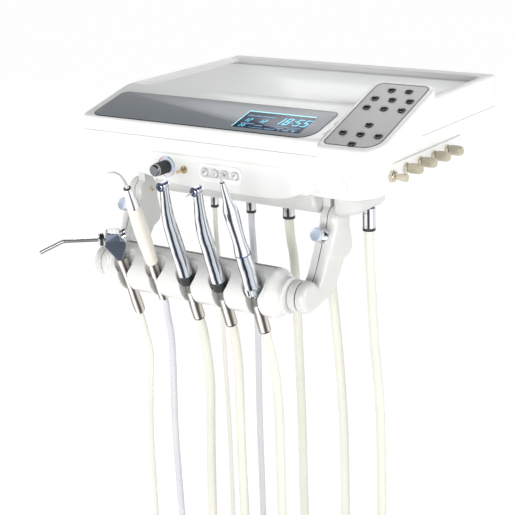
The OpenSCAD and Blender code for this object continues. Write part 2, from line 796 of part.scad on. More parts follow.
module scaler_tail() {
    color(steel_c) at_slot(1) rotate_extrude() polygon([
        [0, -scaler_tail_l], [5, -scaler_tail_l], [5.5, -scaler_tail_l + 3], [5.5, 0],
        [6.2, 0], [6.2, grip_z], [4.5, grip_z], [4.5, grip_z + 12], [0, grip_z + 12]
    ]);
}
module scaler_grip() {
    g = grip_dia / 2;
    color([0.9, 0.87, 0.78]) at_slot(1) translate([0, 0, grip_z]) difference() {
        rotate_extrude() polygon([
            [0, 0], [6, 0], [6.3, 1], [7.1, 12], [g - 0.3, 26], [g, 38], [g - 0.4, 52],
            [7.2, grip_l], [6.8, grip_l + 8], [5, grip_l + 18], [3.6, grip_l + 24],
            [0, grip_l + 24]
        ]);
        translate([0, 0, -1]) cylinder(h = 13, r = 4.6);
        translate([0, 0, grip_l + 18]) cylinder(h = 10, r = 1.8);
    }
}
module scaler_tip() {
    joint_r = 0.05;
    color(steel_c) at_slot(1) translate([0, 0, tip_z]) {
        cylinder(h = 13, r1 = 1.8, r2 = 1.6);
        translate([0, 0, 13]) {
            sphere(1.6 + joint_r);
            rotate([10, 0, 0]) {
                cylinder(h = 11, r1 = 1.6, r2 = 1.3);
                translate([0, 0, 11]) {
                    sphere(1.3 + joint_r);
                    rotate([35, 0, 0]) cylinder(h = 18.5, r1 = 1.3, r2 = 0.5);
                }
            }
        }
    }
}

module turbine_handpiece(i) {
    h = turbine_dia / 2;
    bend_deg = -15;
    neck_l = 36;
    color(steel_c) at_slot(i) difference() {
        union() {
            rotate_extrude() polygon([
                [0, 0], [ring_dia / 2, 0], [ring_dia / 2, 11], [h, 11.6], [h, 50],
                [h - 0.7, turbine_l], [0, turbine_l]
            ]);
            translate([0, 0, turbine_l]) sphere(h - 0.75);
            translate([0, 0, turbine_l]) rotate([bend_deg, 0, 0]) {
                cylinder(h = neck_l, r1 = h - 0.85, r2 = 4.6);
                translate([0, 0, neck_l]) rotate([bend_deg - 5 + 90 + 20, 0, 0])
                    translate([0, 0, -head_h / 2 + 2]) cylinder(h = head_h, d = head_dia);
            }
        }
        translate([0, 0, -1]) cylinder(h = 9, r = 5.3);
        turbine_head_axis() translate([0, 0, head_h / 2 - 6]) cylinder(h = 20, r = 1.5);
    }
}
// The turbine head's axis, pointing out of the chuck
module turbine_head_axis() {
    translate([0, 0, turbine_l]) rotate([-15, 0, 0]) translate([0, 0, 36])
        rotate([-20 + 90 + 20, 0, 0]) translate([0, 0, 2]) children();
}
module turbine_bur(i) {
    color(steel_c) at_slot(i) turbine_head_axis() {
        translate([0, 0, head_h / 2 - 5]) cylinder(h = 15, d = 1.6);
        translate([0, 0, head_h / 2 + 10]) cylinder(h = 5, d1 = 1.6, d2 = 0.8);
    }
}
module tail(i) {
    t = tail_dia / 2;
    color(steel_c) at_slot(i) rotate_extrude() polygon([
        [0, 7.5], [5.2, 7.5], [5.2, -12], [t - 0.6, -12.5], [t - 0.6, -24], [t, -26],
        [t, -tail_l + 1], [t - 1, -tail_l], [0, -tail_l]
    ]);
}

module low_speed_cone() {
    m = motor_dia / 2;
    color(steel_c) at_slot(4) difference() {
        translate([0, 0, motor_l + gap]) rotate_extrude() polygon([
            [0, 0], [m - 0.4, 0], [m - 0.5, 5], [7, 12], [7, 23], [7.6, 38], [8, 52],
            [6.5, 60], [4.6, 66], [3.6, 76], [2.8, 82], [2.5, cone_l], [0, cone_l]
        ]);
        translate([0, 0, motor_l]) cylinder(h = 12, r = 5 + gap);
        translate([0, 0, motor_l + cone_l - 8]) cylinder(h = 10, r = bur_dia / 2 + gap);
    }
}
module low_speed_motor() {
    m = motor_dia / 2;
    t = tail_dia / 2;
    color(steel_c) at_slot(4) rotate_extrude() polygon([
        [0, -tail_l], [t - 1, -tail_l], [t, -tail_l + 1], [t, -26], [t - 0.6, -24],
        [t - 0.6, -12.5], [5.2, -12], [5.2, 0], [m - 1, 0], [m, 3], [m, 10], [m - 0.4, 11],
        [m - 0.4, motor_l], [5, motor_l], [5, motor_l + 10], [0, motor_l + 10]
    ]);
}
module low_speed_bur() {
    color(steel_c) at_slot(4) translate([0, 0, motor_l + cone_l - 7]) {
        cylinder(h = 18, d = bur_dia);
        translate([0, 0, 19]) sphere(d = bur_dia + 0.4);
    }
}

module pressure_knob() {
    k = knob_dia / 2;
    color(dark_c) translate([knob_x, chin_y - gap, control_z]) rotate([90, 0, 0]) union() {
        cylinder(h = knob_l - 5, r = k);
        translate([0, 0, knob_l - 5]) cylinder(h = 5, r1 = k - 0.3, r2 = k - 0.8);
        translate([0, 0, -14]) cylinder(h = 15, r = stem_r);
    }
}
module front_toggle() {
    color([0.75, 0.68, 0.5]) translate([toggle_x, chin_y - 2, control_z - 1])
        rotate([90, 0, 0]) {
            sphere(1.8);
            rotate([0, 90, 0]) cylinder(h = 2 * (1.8 + gap / 2), r = 0.6, center = true);
            cylinder(h = 13, r1 = 0.9, r2 = 1.3);
        }
}
module adjuster(i) {
    color(steel_c) translate([adjuster_x(i), chin_y, adjuster_z]) rotate([90, 0, 0])
        difference() {
            union() {
                translate([0, 0, gap]) cylinder(h = 1.7, d = adjuster_dia);
                translate([0, 0, -10]) cylinder(h = 11, r = stem_r);
            }
            translate([-6, -0.6, 1.2]) cube([12, 1.2, 2]);
        }
}
module valve_knob(y, z) {
    v = valve_dia / 2;
    color([0.82, 0.76, 0.66]) translate([side_x, y, z]) rotate([0, 90, 0]) union() {
        translate([0, 0, nut_t + gap]) cylinder(h = valve_l - 3, r1 = v - 0.6, r2 = v);
        translate([0, 0, nut_t + gap + valve_l - 3]) cylinder(h = 3, r1 = v, r2 = v - 1.2);
        translate([0, 0, -10]) cylinder(h = nut_t + 11, r = stem_r);
    }
}
module side_toggle() {
    color([0.82, 0.76, 0.66]) translate([side_x + nut_t, side_toggle_y, valve_z - 2.4])
        rotate([0, 90, 0]) {
            sphere(2.4);
            rotate([90, 0, 0]) cylinder(h = 2 * (2.4 + gap / 2), r = 0.8, center = true);
            cylinder(h = 6, r = 1.6);
            translate([0, 0, 5]) cylinder(h = 13, r1 = 3.6, r2 = 4.6);
        }
}

// Nuts, bezel, ferrules, brake collars and screws: turned metal pieces of the fixed frame
module metal_fittings() {
    color(steel_c) {
        for (i = [0 : 3]) translate([side_x, valve_first_y + i * valve_pitch, valve_z])
            rotate([0, 90, 0]) nut(5.4, stem_r + gap);
        translate([side_x, side_toggle_y, valve_z - 2.4]) rotate([0, 90, 0]) difference() {
            cylinder(h = nut_t + 2, r = 7, $fn = 6);
            translate([0, 0, nut_t]) sphere(2.4 + gap);
            translate([0, 0, nut_t]) cylinder(h = 3, r1 = 2.2, r2 = 4.4);
        }
        translate([toggle_x, chin_y, control_z - 1]) rotate([90, 0, 0]) difference() {
            cylinder(h = 3, r = 4.5);
            translate([0, 0, 2]) sphere(1.8 + gap);
            translate([0, 0, 2]) cylinder(h = 2, r1 = 1.6, r2 = 2.6);
        }
        for (i = [0 : 4]) translate([outlet_x(i), -outlet_y, block_z]) ferrule(i);
        for (s = [-1, 1]) mirror([s < 0 ? 1 : 0, 0, 0]) {
            at_brake() translate([0, 0, 2.9]) difference() {
                cylinder(h = 2.5, r = 8);
                translate([0, 0, -1]) cylinder(h = 5, r = 5 + gap);
            }
            translate([arm_in - 1, -118.4, -16.3]) rotate([0, 90, 0]) cylinder(h = 1, r = 3);
        }
    }
}
module nut(r, bore_r) {
    difference() {
        cylinder(h = nut_t, r = r);
        translate([0, 0, -1]) cylinder(h = nut_t + 2, r = bore_r);
    }
}
module ferrule(i) {
    r = i == 0 ? 4.6 : i == 1 ? 5.5 : 6.95;
    rotate([180, 0, 0]) union() {
        cylinder(h = ferrule_h, r = r - 0.5);
        translate([0, 0, 2]) cylinder(h = ferrule_h - 8, r = r);
        translate([0, 0, -6]) cylinder(h = 7, r = outlet_r);
    }
}
module control_block() {
    color([0.7, 0.7, 0.72]) difference() {
        translate([block_inner_x, side_toggle_y - 12, housing_z + wall + 1])
            cube([side_x - wall - block_inner_x, 3 * valve_pitch + 60, housing_h - wall - 4]);
        for (i = [0 : 3]) valve_bore(valve_first_y + i * valve_pitch, valve_z);
        valve_bore(side_toggle_y, valve_z - 2.4);
    }
}

// A round tube along a list of points
function unit(v) = v / norm(v);
function tangent(p, i) = unit(p[min(i + 1, len(p) - 1)] - p[max(i - 1, 0)]);
function ring_side(t) = unit(cross(t, [1, 0, 0.3]));
module tube(path, r, sides) {
    n = len(path);
    points = [
        for (i = [0 : n - 1])
            let (t = i == 0 ? unit(path[1] - path[0]) : i == n - 1 ? [0, 0, 1] : tangent(path, i),
                u = ring_side(t), v = cross(t, u))
                for (k = [0 : sides - 1])
                    path[i] + r * (cos(k * 360 / sides) * u + sin(k * 360 / sides) * v)
    ];
    walls = [
        for (i = [0 : n - 2], k = [0 : sides - 1])
            let (a = i * sides + k, b = i * sides + (k + 1) % sides)
                each [[a, b, b + sides], [a, b + sides, a + sides]]
    ];
    start_cap = [[for (k = [sides - 1 : -1 : 0]) k]];
    end_cap = [[for (k = [0 : sides - 1]) (n - 1) * sides + k]];
    polyhedron(points, concat(walls, start_cap, end_cap), convexity = 10);
}
module hose(i, start_t, route, r, sides) {
    color([0.88, 0.87, 0.78])
        tube(concat([hose_start(i, start_t - hose_gap)], [hose_start(i, start_t - 8)], route,
            [hose_end(i) - [0, 0, 8]], [hose_end(i) - [0, 0, hose_gap]]), r, sides);
}

top_cover();
base_pan();
lower_housing();
hose_block();
front_panel();
display_window();
pod_shell();
keypad_plate();
adjuster_plate();
mirror([1, 0, 0]) arm_shells();  // left_arm_shells
arm_shells();  // right_arm_shells
metal_fittings();
control_block();
key_cap(0);  // key_1
key_cap(1);  // key_2
key_cap(2);  // key_3
key_cap(3);  // key_4
key_cap(4);  // key_5
key_cap(5);  // key_6
key_cap(6);  // key_7
key_cap(7);  // key_8
key_cap(8);  // key_9
key_cap(9);  // key_10
key_cap(10);  // key_11
key_cap(11);  // key_12
key_cap(12);  // key_13
pressure_knob();
front_toggle();
adjuster(0);  // adjuster_1
adjuster(1);  // adjuster_2
adjuster(2);  // adjuster_3
adjuster(3);  // adjuster_4
side_toggle();
valve_knob(valve_first_y, valve_z);  // needle_valve_1
valve_knob(valve_first_y + valve_pitch, valve_z);  // needle_valve_2
valve_knob(valve_first_y + 2 * valve_pitch, valve_z);  // needle_valve_3
valve_knob(valve_first_y + 3 * valve_pitch, valve_z);  // needle_valve_4
mirror([1, 0, 0]) brake_button();  // left_brake_button
brake_button();  // right_brake_button
holder_bar();
syringe_handle();
syringe_nozzle();
syringe_button(-1);  // syringe_left_button
syringe_button(1);  // syringe_right_button
scaler_grip();
scaler_tip();
scaler_tail();
turbine_handpiece(2);  // turbine_1_handpiece
tail(2);  // turbine_1_tail
turbine_handpiece(3);  // turbine_2_handpiece
tail(3);  // turbine_2_tail
turbine_bur(3);  // turbine_2_bur
low_speed_cone();
low_speed_motor();
low_speed_bur();
hose(0, -syringe_l, syringe_route, syringe_hose_r, 8);  // syringe_hose
hose(1, -scaler_tail_l, scaler_route, scaler_hose_r, 8);  // scaler_hose
hose(2, -tail_l, turbine_1_route, hose_r, 8);  // turbine_1_hose
hose(3, -tail_l, turbine_2_route, hose_r, 8);  // turbine_2_hose
hose(4, -tail_l, low_speed_route, hose_r, 8);  // low_speed_hose
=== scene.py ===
# Dental delivery unit: the looks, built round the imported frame.
# Shapes are worked out in millimetres and turned into metres when a mesh is made.
import json
import math

import bmesh
import bpy
from mathutils import Matrix, Vector


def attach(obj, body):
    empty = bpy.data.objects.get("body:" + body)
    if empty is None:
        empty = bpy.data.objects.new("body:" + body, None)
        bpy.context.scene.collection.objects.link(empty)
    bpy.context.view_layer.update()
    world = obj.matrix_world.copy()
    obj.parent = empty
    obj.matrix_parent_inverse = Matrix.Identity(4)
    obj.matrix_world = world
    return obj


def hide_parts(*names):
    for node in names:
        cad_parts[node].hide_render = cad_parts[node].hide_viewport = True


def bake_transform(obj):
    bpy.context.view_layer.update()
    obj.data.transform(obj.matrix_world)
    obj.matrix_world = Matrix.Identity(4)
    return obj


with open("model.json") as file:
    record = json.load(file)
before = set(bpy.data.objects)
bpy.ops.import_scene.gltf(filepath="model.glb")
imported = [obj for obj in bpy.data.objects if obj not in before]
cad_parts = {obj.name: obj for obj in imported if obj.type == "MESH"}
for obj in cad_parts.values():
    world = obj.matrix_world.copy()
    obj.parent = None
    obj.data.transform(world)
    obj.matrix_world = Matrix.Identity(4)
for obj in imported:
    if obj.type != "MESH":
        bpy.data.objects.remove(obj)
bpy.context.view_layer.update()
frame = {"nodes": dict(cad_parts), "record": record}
nodes = frame["nodes"]
MM = 0.001

# The real unit's sizes, as in the part's source
FRONT_Y, BACK_Y, SIDE_X = -160.0, 168.0, 188.0
HOUSING_Z, PAN_Z, SEAM_Z, LIP_Z, RIM_Z, TRAY_Z, BLOCK_Z = 12.0, 41.0, 59.5, 76.0, 98.0, 91.0, -9.0
SLOPE = math.radians(14.6)
POD_SLOPE = math.radians(19.8)
POD_PLANE_Z = 75.0
TOOL_TILT = math.radians(20)
SEAT = (-213.0, -84.0)
SLOT_PITCH = 44.3
PIVOT = (-188.5, -86.0)
BAR_AXIS = (-193.0, -85.4)
CHIN_Y = -156.0


# Materials
def sind(degrees):
    return math.sin(math.radians(degrees))


def cosd(degrees):
    return math.cos(math.radians(degrees))


def new_material(name):
    m = bpy.data.materials.new(name)
    m.use_nodes = True
    return m, m.node_tree, m.node_tree.nodes["Principled BSDF"]


def set_inputs(shader, **values):
    """Sets a node's sockets by name, with _ for a space."""
    for key, value in values.items():
        shader.inputs[key.replace("_", " ")].default_value = value
    return shader


def add_node(tree, kind, **values):
    return set_inputs(tree.nodes.new("ShaderNode" + kind), **values)


def noise(tree, place, **values):
    n = add_node(tree, "TexNoise", **values)
    if place:
        tree.links.new(place, n.inputs["Vector"])
    return n.outputs["Fac"]


def gradient(tree, factor, stops):
    """A colour ramp through (position, colour) stops."""
    ramp = add_node(tree, "ValToRGB")
    elements = ramp.color_ramp.elements
    elements[0].position, elements[1].position = stops[0][0], stops[-1][0]
    elements[0].color = (*stops[0][1], 1)
    elements[1].color = (*stops[-1][1], 1)
    for at, colour in stops[1:-1]:
        elements.new(at).color = (*colour, 1)
    tree.links.new(factor, ramp.inputs["Fac"])
    return ramp.outputs["Color"]


def spread(tree, factor, low, high):
    """Maps 0 to 1 onto low to high."""
    span = add_node(tree, "MapRange", To_Min=low, To_Max=high)
    tree.links.new(factor, span.inputs["Value"])
    return span.outputs["Result"]


def add_bump(tree, bsdf, height, strength):
    relief = add_node(tree, "Bump", Strength=strength, Distance=0.0002)
    tree.links.new(height, relief.inputs["Height"])
    tree.links.new(relief.outputs["Normal"], bsdf.inputs["Normal"])


def textured(name, colour, rough, metallic=0.0, vary=0.02, grain=900.0, bump=0.05, coat=0.0,
        stretch=(1, 1, 1), rough_vary=0.04, specular=0.5):
    """A surface with faint colour variation, grain in its bump and an uneven gloss."""
    m, tree, bsdf = new_material(name)
    set_inputs(bsdf, Metallic=metallic, Coat_Weight=coat, Coat_Roughness=0.08, Specular_IOR_Level=specular)
    mapping = add_node(tree, "Mapping", Scale=stretch)
    tree.links.new(add_node(tree, "TexCoord").outputs["Object"], mapping.inputs["Vector"])
    place = mapping.outputs["Vector"]
    broad = noise(tree, place, Scale=28, Detail=4)
    tone = gradient(tree, broad, [(0.3, [max(0, c * (1 - vary)) for c in colour]),
        (0.7, [min(1, c * (1 + vary)) for c in colour])])
    tree.links.new(tone, bsdf.inputs["Base Color"])
    gloss = spread(tree, broad, max(0.02, rough - rough_vary), min(1.0, rough + rough_vary))
    tree.links.new(gloss, bsdf.inputs["Roughness"])
    if bump:
        add_bump(tree, bsdf, noise(tree, place, Scale=grain, Detail=3), bump)
    return m


# Painted reflections: the direction along which most steel's painted light and dark reflection bands lie, the
# camera's sideways axis
BAND_AXIS = (0.816, 0.578, 0.0)


def painted_reflection_metal(name, stops, rough, waves, across=BAND_AXIS, metallic=0.85):
    """Polished metal with painted reflections: light and dark bands painted over the way a face points."""
    m, tree, bsdf = new_material(name)
    set_inputs(bsdf, Metallic=metallic)
    coord = add_node(tree, "TexCoord")
    facing = add_node(tree, "VectorMath")
    facing.operation = "DOT_PRODUCT"
    facing.inputs[1].default_value = across
    tree.links.new(coord.outputs["Normal"], facing.inputs[0])
    place = coord.outputs["Object"]
    half = add_node(tree, "Math")
    half.operation = "MULTIPLY_ADD"
    half.inputs[1].default_value = 0.5
    tree.links.new(facing.outputs["Value"], half.inputs[0])
    sway = spread(tree, noise(tree, place, Scale=70, Detail=2), 0.5 - waves, 0.5 + waves)
    tree.links.new(sway, half.inputs[2])
    tree.links.new(gradient(tree, half.outputs["Value"], stops), bsdf.inputs["Base Color"])
    fine = noise(tree, place, Scale=900)
    tree.links.new(spread(tree, fine, max(0.02, rough - 0.03), rough + 0.03), bsdf.inputs["Roughness"])
    add_bump(tree, bsdf, fine, 0.02)
    return m


def glowing(name, colour, strength):
    """A glowing mark, a little uneven: lit on the display, a painted glow on the knob's printed scale."""
    m, tree, bsdf = new_material(name)
    tone = gradient(tree, noise(tree, None, Scale=260), [(0.0, [c * 0.75 for c in colour]), (1.0, colour)])
    tree.links.new(tone, bsdf.inputs["Emission Color"])
    tree.links.new(tone, bsdf.inputs["Base Color"])
    set_inputs(bsdf, Emission_Strength=strength, Roughness=0.3)
    return m


WHITE = textured("white_plastic", (0.80, 0.805, 0.79), 0.36, vary=0.008, grain=1400, bump=0.03, coat=0.12)
# The bar's white is a little darker than the body's: partly its own tone, partly painted shade.
BAR_WHITE = textured("white_gloss", (0.69, 0.69, 0.675), 0.16, vary=0.006, grain=600, bump=0.015, coat=0.6)
PANEL = textured("panel_overlay", (0.25, 0.272, 0.29), 0.42, vary=0.03, grain=2600, bump=0.06, metallic=0.15)
PLATE = textured("key_plate", (0.28, 0.28, 0.275), 0.40, metallic=0.4, vary=0.035, grain=2200, bump=0.10,
    stretch=(1, 0.12, 0.12))
BORDER = textured("dark_border", (0.022, 0.024, 0.028), 0.35, vary=0.1, grain=1200, bump=0.03)
KEY_METAL = textured("key_metal", (0.05, 0.055, 0.065), 0.16, metallic=0.7, vary=0.05, grain=1500, bump=0.02)
CHROME = textured("chrome", (0.78, 0.79, 0.81), 0.07, metallic=1.0, vary=0.02, grain=500, bump=0.01,
    rough_vary=0.02)
STEEL = textured("satin_steel", (0.66, 0.67, 0.69), 0.24, metallic=1.0, vary=0.03, grain=1500, bump=0.05,
    stretch=(1, 1, 0.15))
DARK_STEEL = textured("dark_steel", (0.24, 0.25, 0.27), 0.3, metallic=1.0, vary=0.05, grain=1500, bump=0.05)
RIDGE_STEEL = textured("ridge_steel", (0.30, 0.29, 0.27), 0.38, metallic=0.9, vary=0.05, grain=1500,
    bump=0.05)
BLACK = textured("black_plastic", (0.016, 0.017, 0.018), 0.38, vary=0.12, grain=1500, bump=0.08)
BRASS = textured("brass", (0.62, 0.50, 0.33), 0.22, metallic=1.0, vary=0.05, grain=1200, bump=0.03)
NUT_METAL = textured("nut_metal", (0.66, 0.61, 0.50), 0.2, metallic=1.0, vary=0.06, grain=1200, bump=0.03)
BEIGE = textured("beige_knob", (0.47, 0.43, 0.33), 0.4, vary=0.04, grain=1500, bump=0.06)
IVORY = textured("ivory_grip", (0.78, 0.75, 0.67), 0.34, vary=0.02, grain=1300, bump=0.04, coat=0.2)
BLUE_CAP = textured("blue_cap", (0.50, 0.58, 0.68), 0.3, metallic=0.35, vary=0.03, grain=900, bump=0.03)
HOSE_CREAM = textured("hose_cream", (0.69, 0.685, 0.61), 0.42, vary=0.03, grain=1000, bump=0.06)
HOSE_GREY = textured("hose_grey", (0.60, 0.61, 0.64), 0.42, vary=0.03, grain=1000, bump=0.06)
HOSE_WHITE = textured("hose_white", (0.72, 0.71, 0.645), 0.40, vary=0.02, grain=1000, bump=0.05)
# The hose block's white is darker than the body's: painted shade of its place under the pan.
BLOCK_SHADED_WHITE = textured("block_plastic_painted_shade", (0.56, 0.565, 0.55), 0.34, vary=0.01, grain=1400, bump=0.03, coat=0.1)
# The arms' white is darker than the body's: partly their own tone, partly painted shade.
ARM_TONE_AND_SHADE_WHITE = textured("arm_plastic_tone_and_painted_shade", (0.62, 0.625, 0.605), 0.30, vary=0.008, grain=1400, bump=0.03, coat=0.25)
PLATE_WHITE = textured("plate_white", (0.88, 0.88, 0.88), 0.3, vary=0.008, grain=900, bump=0.02)
# Painted reflection of the dark space above, on the holder bar's upper rear edge.
BAR_REFLECTION_GREY = textured("bar_reflection_painted_grey", (0.20, 0.21, 0.19), 0.5, vary=0.1, grain=900, bump=0.02)
# Painted shadow: a dark colour put in gaps, slots and seams where there is only shade.
PAINTED_GAP_SHADOW = textured("gap_shadow", (0.05, 0.05, 0.05), 0.7, vary=0.1, grain=900, bump=0.02)
# Painted reflections: these steels and chromes carry light and dark reflection bands painted into their
# colour by the way each face points.
HANDLE_STEEL = painted_reflection_metal("handle_steel", [(0.0, (0.02, 0.022, 0.03)), (0.07, (0.08, 0.09, 0.11)),
    (0.12, (1.0, 1.0, 1.0)), (0.27, (1.0, 1.0, 1.0)), (0.33, (0.42, 0.45, 0.50)),
    (0.38, (0.10, 0.11, 0.14)), (0.43, (0.01, 0.012, 0.02)), (0.50, (0.02, 0.025, 0.04)),
    (0.55, (0.50, 0.54, 0.60)), (0.70, (0.66, 0.70, 0.76)), (0.77, (0.34, 0.37, 0.42)),
    (0.86, (1.0, 1.0, 1.0)), (0.93, (0.70, 0.73, 0.77)), (1.0, (0.03, 0.035, 0.05))], 0.15, 0.08,
    metallic=0.9)
TAIL_STEEL = painted_reflection_metal("tail_steel", [(0.0, (0.05, 0.045, 0.04)), (0.10, (0.40, 0.37, 0.33)),
    (0.17, (0.16, 0.14, 0.12)), (0.26, (0.90, 0.88, 0.84)), (0.42, (1.0, 0.99, 0.96)),
    (0.50, (0.45, 0.42, 0.38)), (0.58, (0.06, 0.055, 0.05)), (0.72, (0.10, 0.09, 0.085)),
    (0.80, (0.62, 0.58, 0.52)), (0.92, (0.75, 0.71, 0.65)), (1.0, (0.05, 0.05, 0.05))], 0.2, 0.02,
    metallic=0.7)
CONE_CHROME = painted_reflection_metal("cone_chrome", [(0.0, (0.03, 0.035, 0.05)), (0.07, (0.30, 0.32, 0.35)),
    (0.14, (1.0, 1.0, 1.0)), (0.28, (0.95, 0.96, 0.98)), (0.35, (0.08, 0.09, 0.12)),
    (0.44, (0.01, 0.012, 0.02)), (0.50, (0.30, 0.32, 0.37)), (0.56, (1.0, 1.0, 1.0)),
    (0.74, (1.0, 1.0, 1.0)), (0.84, (0.45, 0.48, 0.53)), (0.92, (0.90, 0.92, 0.95)),
    (1.0, (0.04, 0.05, 0.07))], 0.1, 0.03, metallic=0.9)
NOSE_CHROME = painted_reflection_metal("nose_chrome", [(0.0, (0.35, 0.36, 0.38)), (0.10, (1.0, 1.0, 1.0)),
    (0.50, (1.0, 1.0, 1.0)), (0.56, (0.16, 0.17, 0.19)), (0.66, (0.10, 0.11, 0.12)),
    (0.72, (1.0, 1.0, 1.0)), (0.92, (1.0, 1.0, 1.0)), (1.0, (0.25, 0.26, 0.28))], 0.3, 0.02, metallic=0.25)
HEAD_CHROME = painted_reflection_metal("head_chrome", [(0.0, (0.03, 0.04, 0.07)), (0.12, (0.10, 0.12, 0.18)),
    (0.28, (0.05, 0.06, 0.12)), (0.42, (0.70, 0.74, 0.80)), (0.5, (1.0, 1.0, 1.0)),
    (0.58, (0.18, 0.20, 0.28)), (0.75, (0.08, 0.09, 0.14)), (0.88, (0.60, 0.64, 0.70)),
    (1.0, (0.10, 0.11, 0.14))], 0.09, 0.03)
# Painted reflection: the dark navy of the syringe head's flat sides, and a lighter painted copy for the
# facets that tilt upwards.
SIDE_REFLECTION_DARK = textured("syringe_side_painted_reflection", (0.045, 0.058, 0.085), 0.42, metallic=0.3, vary=0.08, grain=1500, bump=0.04)
SIDE_REFLECTION_LIGHT = painted_reflection_metal("syringe_upper_side_painted_reflection", [(0.0, (0.08, 0.10, 0.14)), (0.35, (0.34, 0.39, 0.48)),
    (0.6, (0.16, 0.19, 0.26)), (1.0, (0.12, 0.14, 0.2))], 0.5, 0.04, across=(0.0, -1.0, 0.0), metallic=0.3)
# Painted reflection bands on the syringe head's chrome rear and on the nozzle.
SATIN_CHROME = painted_reflection_metal("satin_chrome", [(0.0, (0.06, 0.06, 0.08)), (0.25, (0.12, 0.13, 0.15)),
    (0.42, (0.30, 0.31, 0.33)), (0.55, (0.55, 0.57, 0.59)), (0.72, (0.80, 0.81, 0.82)),
    (1.0, (0.90, 0.91, 0.92))], 0.18, 0.05, across=(0.2, 0.3, 0.93))
NOZZLE_STEEL = painted_reflection_metal("nozzle_steel", [(0.0, (0.02, 0.02, 0.02)), (0.2, (0.30, 0.28, 0.26)),
    (0.34, (0.05, 0.05, 0.05)), (0.5, (0.42, 0.40, 0.38)), (0.64, (0.20, 0.19, 0.18)),
    (0.76, (0.85, 0.84, 0.83)), (1.0, (0.75, 0.75, 0.75))], 0.15, 0.0, across=(0.0, 0.0, 1.0))
ADJUSTER_STEEL = textured("adjuster_steel", (0.72, 0.72, 0.73), 0.42, metallic=0.8, vary=0.12, grain=600,
    bump=0.05, stretch=(1, 1, 0.2))
NAVY = textured("navy_ring", (0.02, 0.03, 0.20), 0.3, vary=0.1, grain=900, bump=0.02)
GLASS = textured("display_glass", (0.035, 0.043, 0.085), 0.3, vary=0.06, grain=400, bump=0.0, specular=0.2)
CYAN = glowing("display_marks", (0.04, 0.62, 0.90), 1.3)
CYAN_DIM = glowing("display_small_marks", (0.02, 0.22, 0.42), 0.5)
CYAN_RIM = glowing("display_rim", (0.25, 0.75, 0.85), 0.9)
# The knob scale's printed colours glow faintly: a painted glow.
ORANGE = glowing("scale_orange", (0.72, 0.22, 0.07), 0.05)
GREEN = glowing("scale_green", (0.08, 0.30, 0.10), 0.05)
YELLOW = glowing("scale_yellow", (0.85, 0.50, 0.12), 0.05)
TINT = textured("scale_tint", (0.62, 0.68, 0.82), 0.4, vary=0.03, grain=900, bump=0.02)


# Mesh helpers
def object_from(bm, name, materials, body, sharp=30.0):
    """Closes a bmesh into an object in metres that rides on a body."""
    bmesh.ops.remove_doubles(bm, verts=bm.verts, dist=1e-4)
    bmesh.ops.recalc_face_normals(bm, faces=bm.faces)
    limit = math.radians(sharp)
    for f in bm.faces:
        f.smooth = True
    for e in bm.edges:
        e.smooth = not (len(e.link_faces) == 2 and e.calc_face_angle(0) > limit)
    mesh = bpy.data.meshes.new(name)
    bm.to_mesh(mesh)
    bm.free()
    mesh.transform(Matrix.Scale(MM, 4))
    for m in materials if isinstance(materials, (list, tuple)) else [materials]:
        mesh.materials.append(m)
    o = bpy.data.objects.new(name, mesh)
    bpy.context.scene.collection.objects.link(o)
    if body:
        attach(o, body)
    return o


def shape(make, *args, **options):
    """A new mesh that one step makes."""
    bm = bmesh.new()
    make(bm, *args, **options)
    return bm


def dress(o, node):
    """Lets a piece stand for a CAD node by hiding that node."""
    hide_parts(node)
    return o


def placed(m):
    """Puts a point into the axes of a matrix."""
    return lambda x, y, z: m @ Vector((x, y, z))


def rrect(x0, y0, x1, y1, radii, arc=8, side=10):
    """A rounded rectangle, counterclockwise from the front left corner's arc."""
    corners = [((x0, y0), (1, 1), 180), ((x1, y0), (-1, 1), 270), ((x1, y1), (-1, -1), 0),
        ((x0, y1), (1, -1), 90)]
    arcs = []
    for (cx, cy), (sx, sy), a0 in corners:
        r = max(radii[len(arcs)], 0.01)
        mx, my = cx + sx * r, cy + sy * r
        arcs.append([(mx + r * cosd(a0 + 90 * k / arc), my + r * sind(a0 + 90 * k / arc))
            for k in range(arc + 1)])
    out = []
    for k, a in enumerate(arcs):
        b = arcs[(k + 1) % 4]
        out += a
        out += [(a[-1][0] + (b[0][0] - a[-1][0]) * j / side, a[-1][1] + (b[0][1] - a[-1][1]) * j / side)
            for j in range(1, side)]
    return out


def inset(outline, d):
    """Moves each point of a counterclockwise outline inwards by d."""
    n = len(outline)
    out = []
    for i in range(n):
        a, p, b = Vector(outline[i - 1]), Vector(outline[i]), Vector(outline[(i + 1) % n])
        n1 = Vector((-(p - a).y, (p - a).x)).normalized()
        n2 = Vector((-(b - p).y, (b - p).x)).normalized()
        k = max(1 + n1.dot(n2), 0.3)
        q = p + (n1 + n2) * (d / k)
        out.append((q.x, q.y))
    return out


def bridge(bm, a, b, material=0):
    n = len(a)
    for i in range(n):
        f = bm.faces.new((a[i], a[(i + 1) % n], b[(i + 1) % n], b[i]))
        f.material_index = material


def stack(bm, outline, levels, place=lambda x, y, z: (x, y, z), caps=(True, True)):
    """Skins rings of one outline. A level is (inset, z), and z a number or a function of the point."""
    rings = []
    for d, z in levels:
        pts = inset(outline, d) if d else outline
        rings.append([bm.verts.new(place(x, y, z(x, y) if callable(z) else z)) for x, y in pts])
    for a, b in zip(rings, rings[1:]):
        bridge(bm, a, b)
    for want, ring in zip(caps, (rings[0], rings[-1])):
        if want:
            bm.faces.new(ring)
    return rings


def plus(z, dz):
    return (lambda x, y: z(x, y) + dz) if callable(z) else z + dz


# Steps of a rounded edge, in degrees
QUARTER = (22.5, 45, 67.5, 90)


def fillet(z, r, up=True, n=4):
    """Levels of a rounded edge that ends at height z, from the wall to the face."""
    s = 1 if up else -1
    return [(r * (1 - cosd(90 * k / n)), plus(z, -s * r * (1 - sind(90 * k / n)))) for k in range(n + 1)]


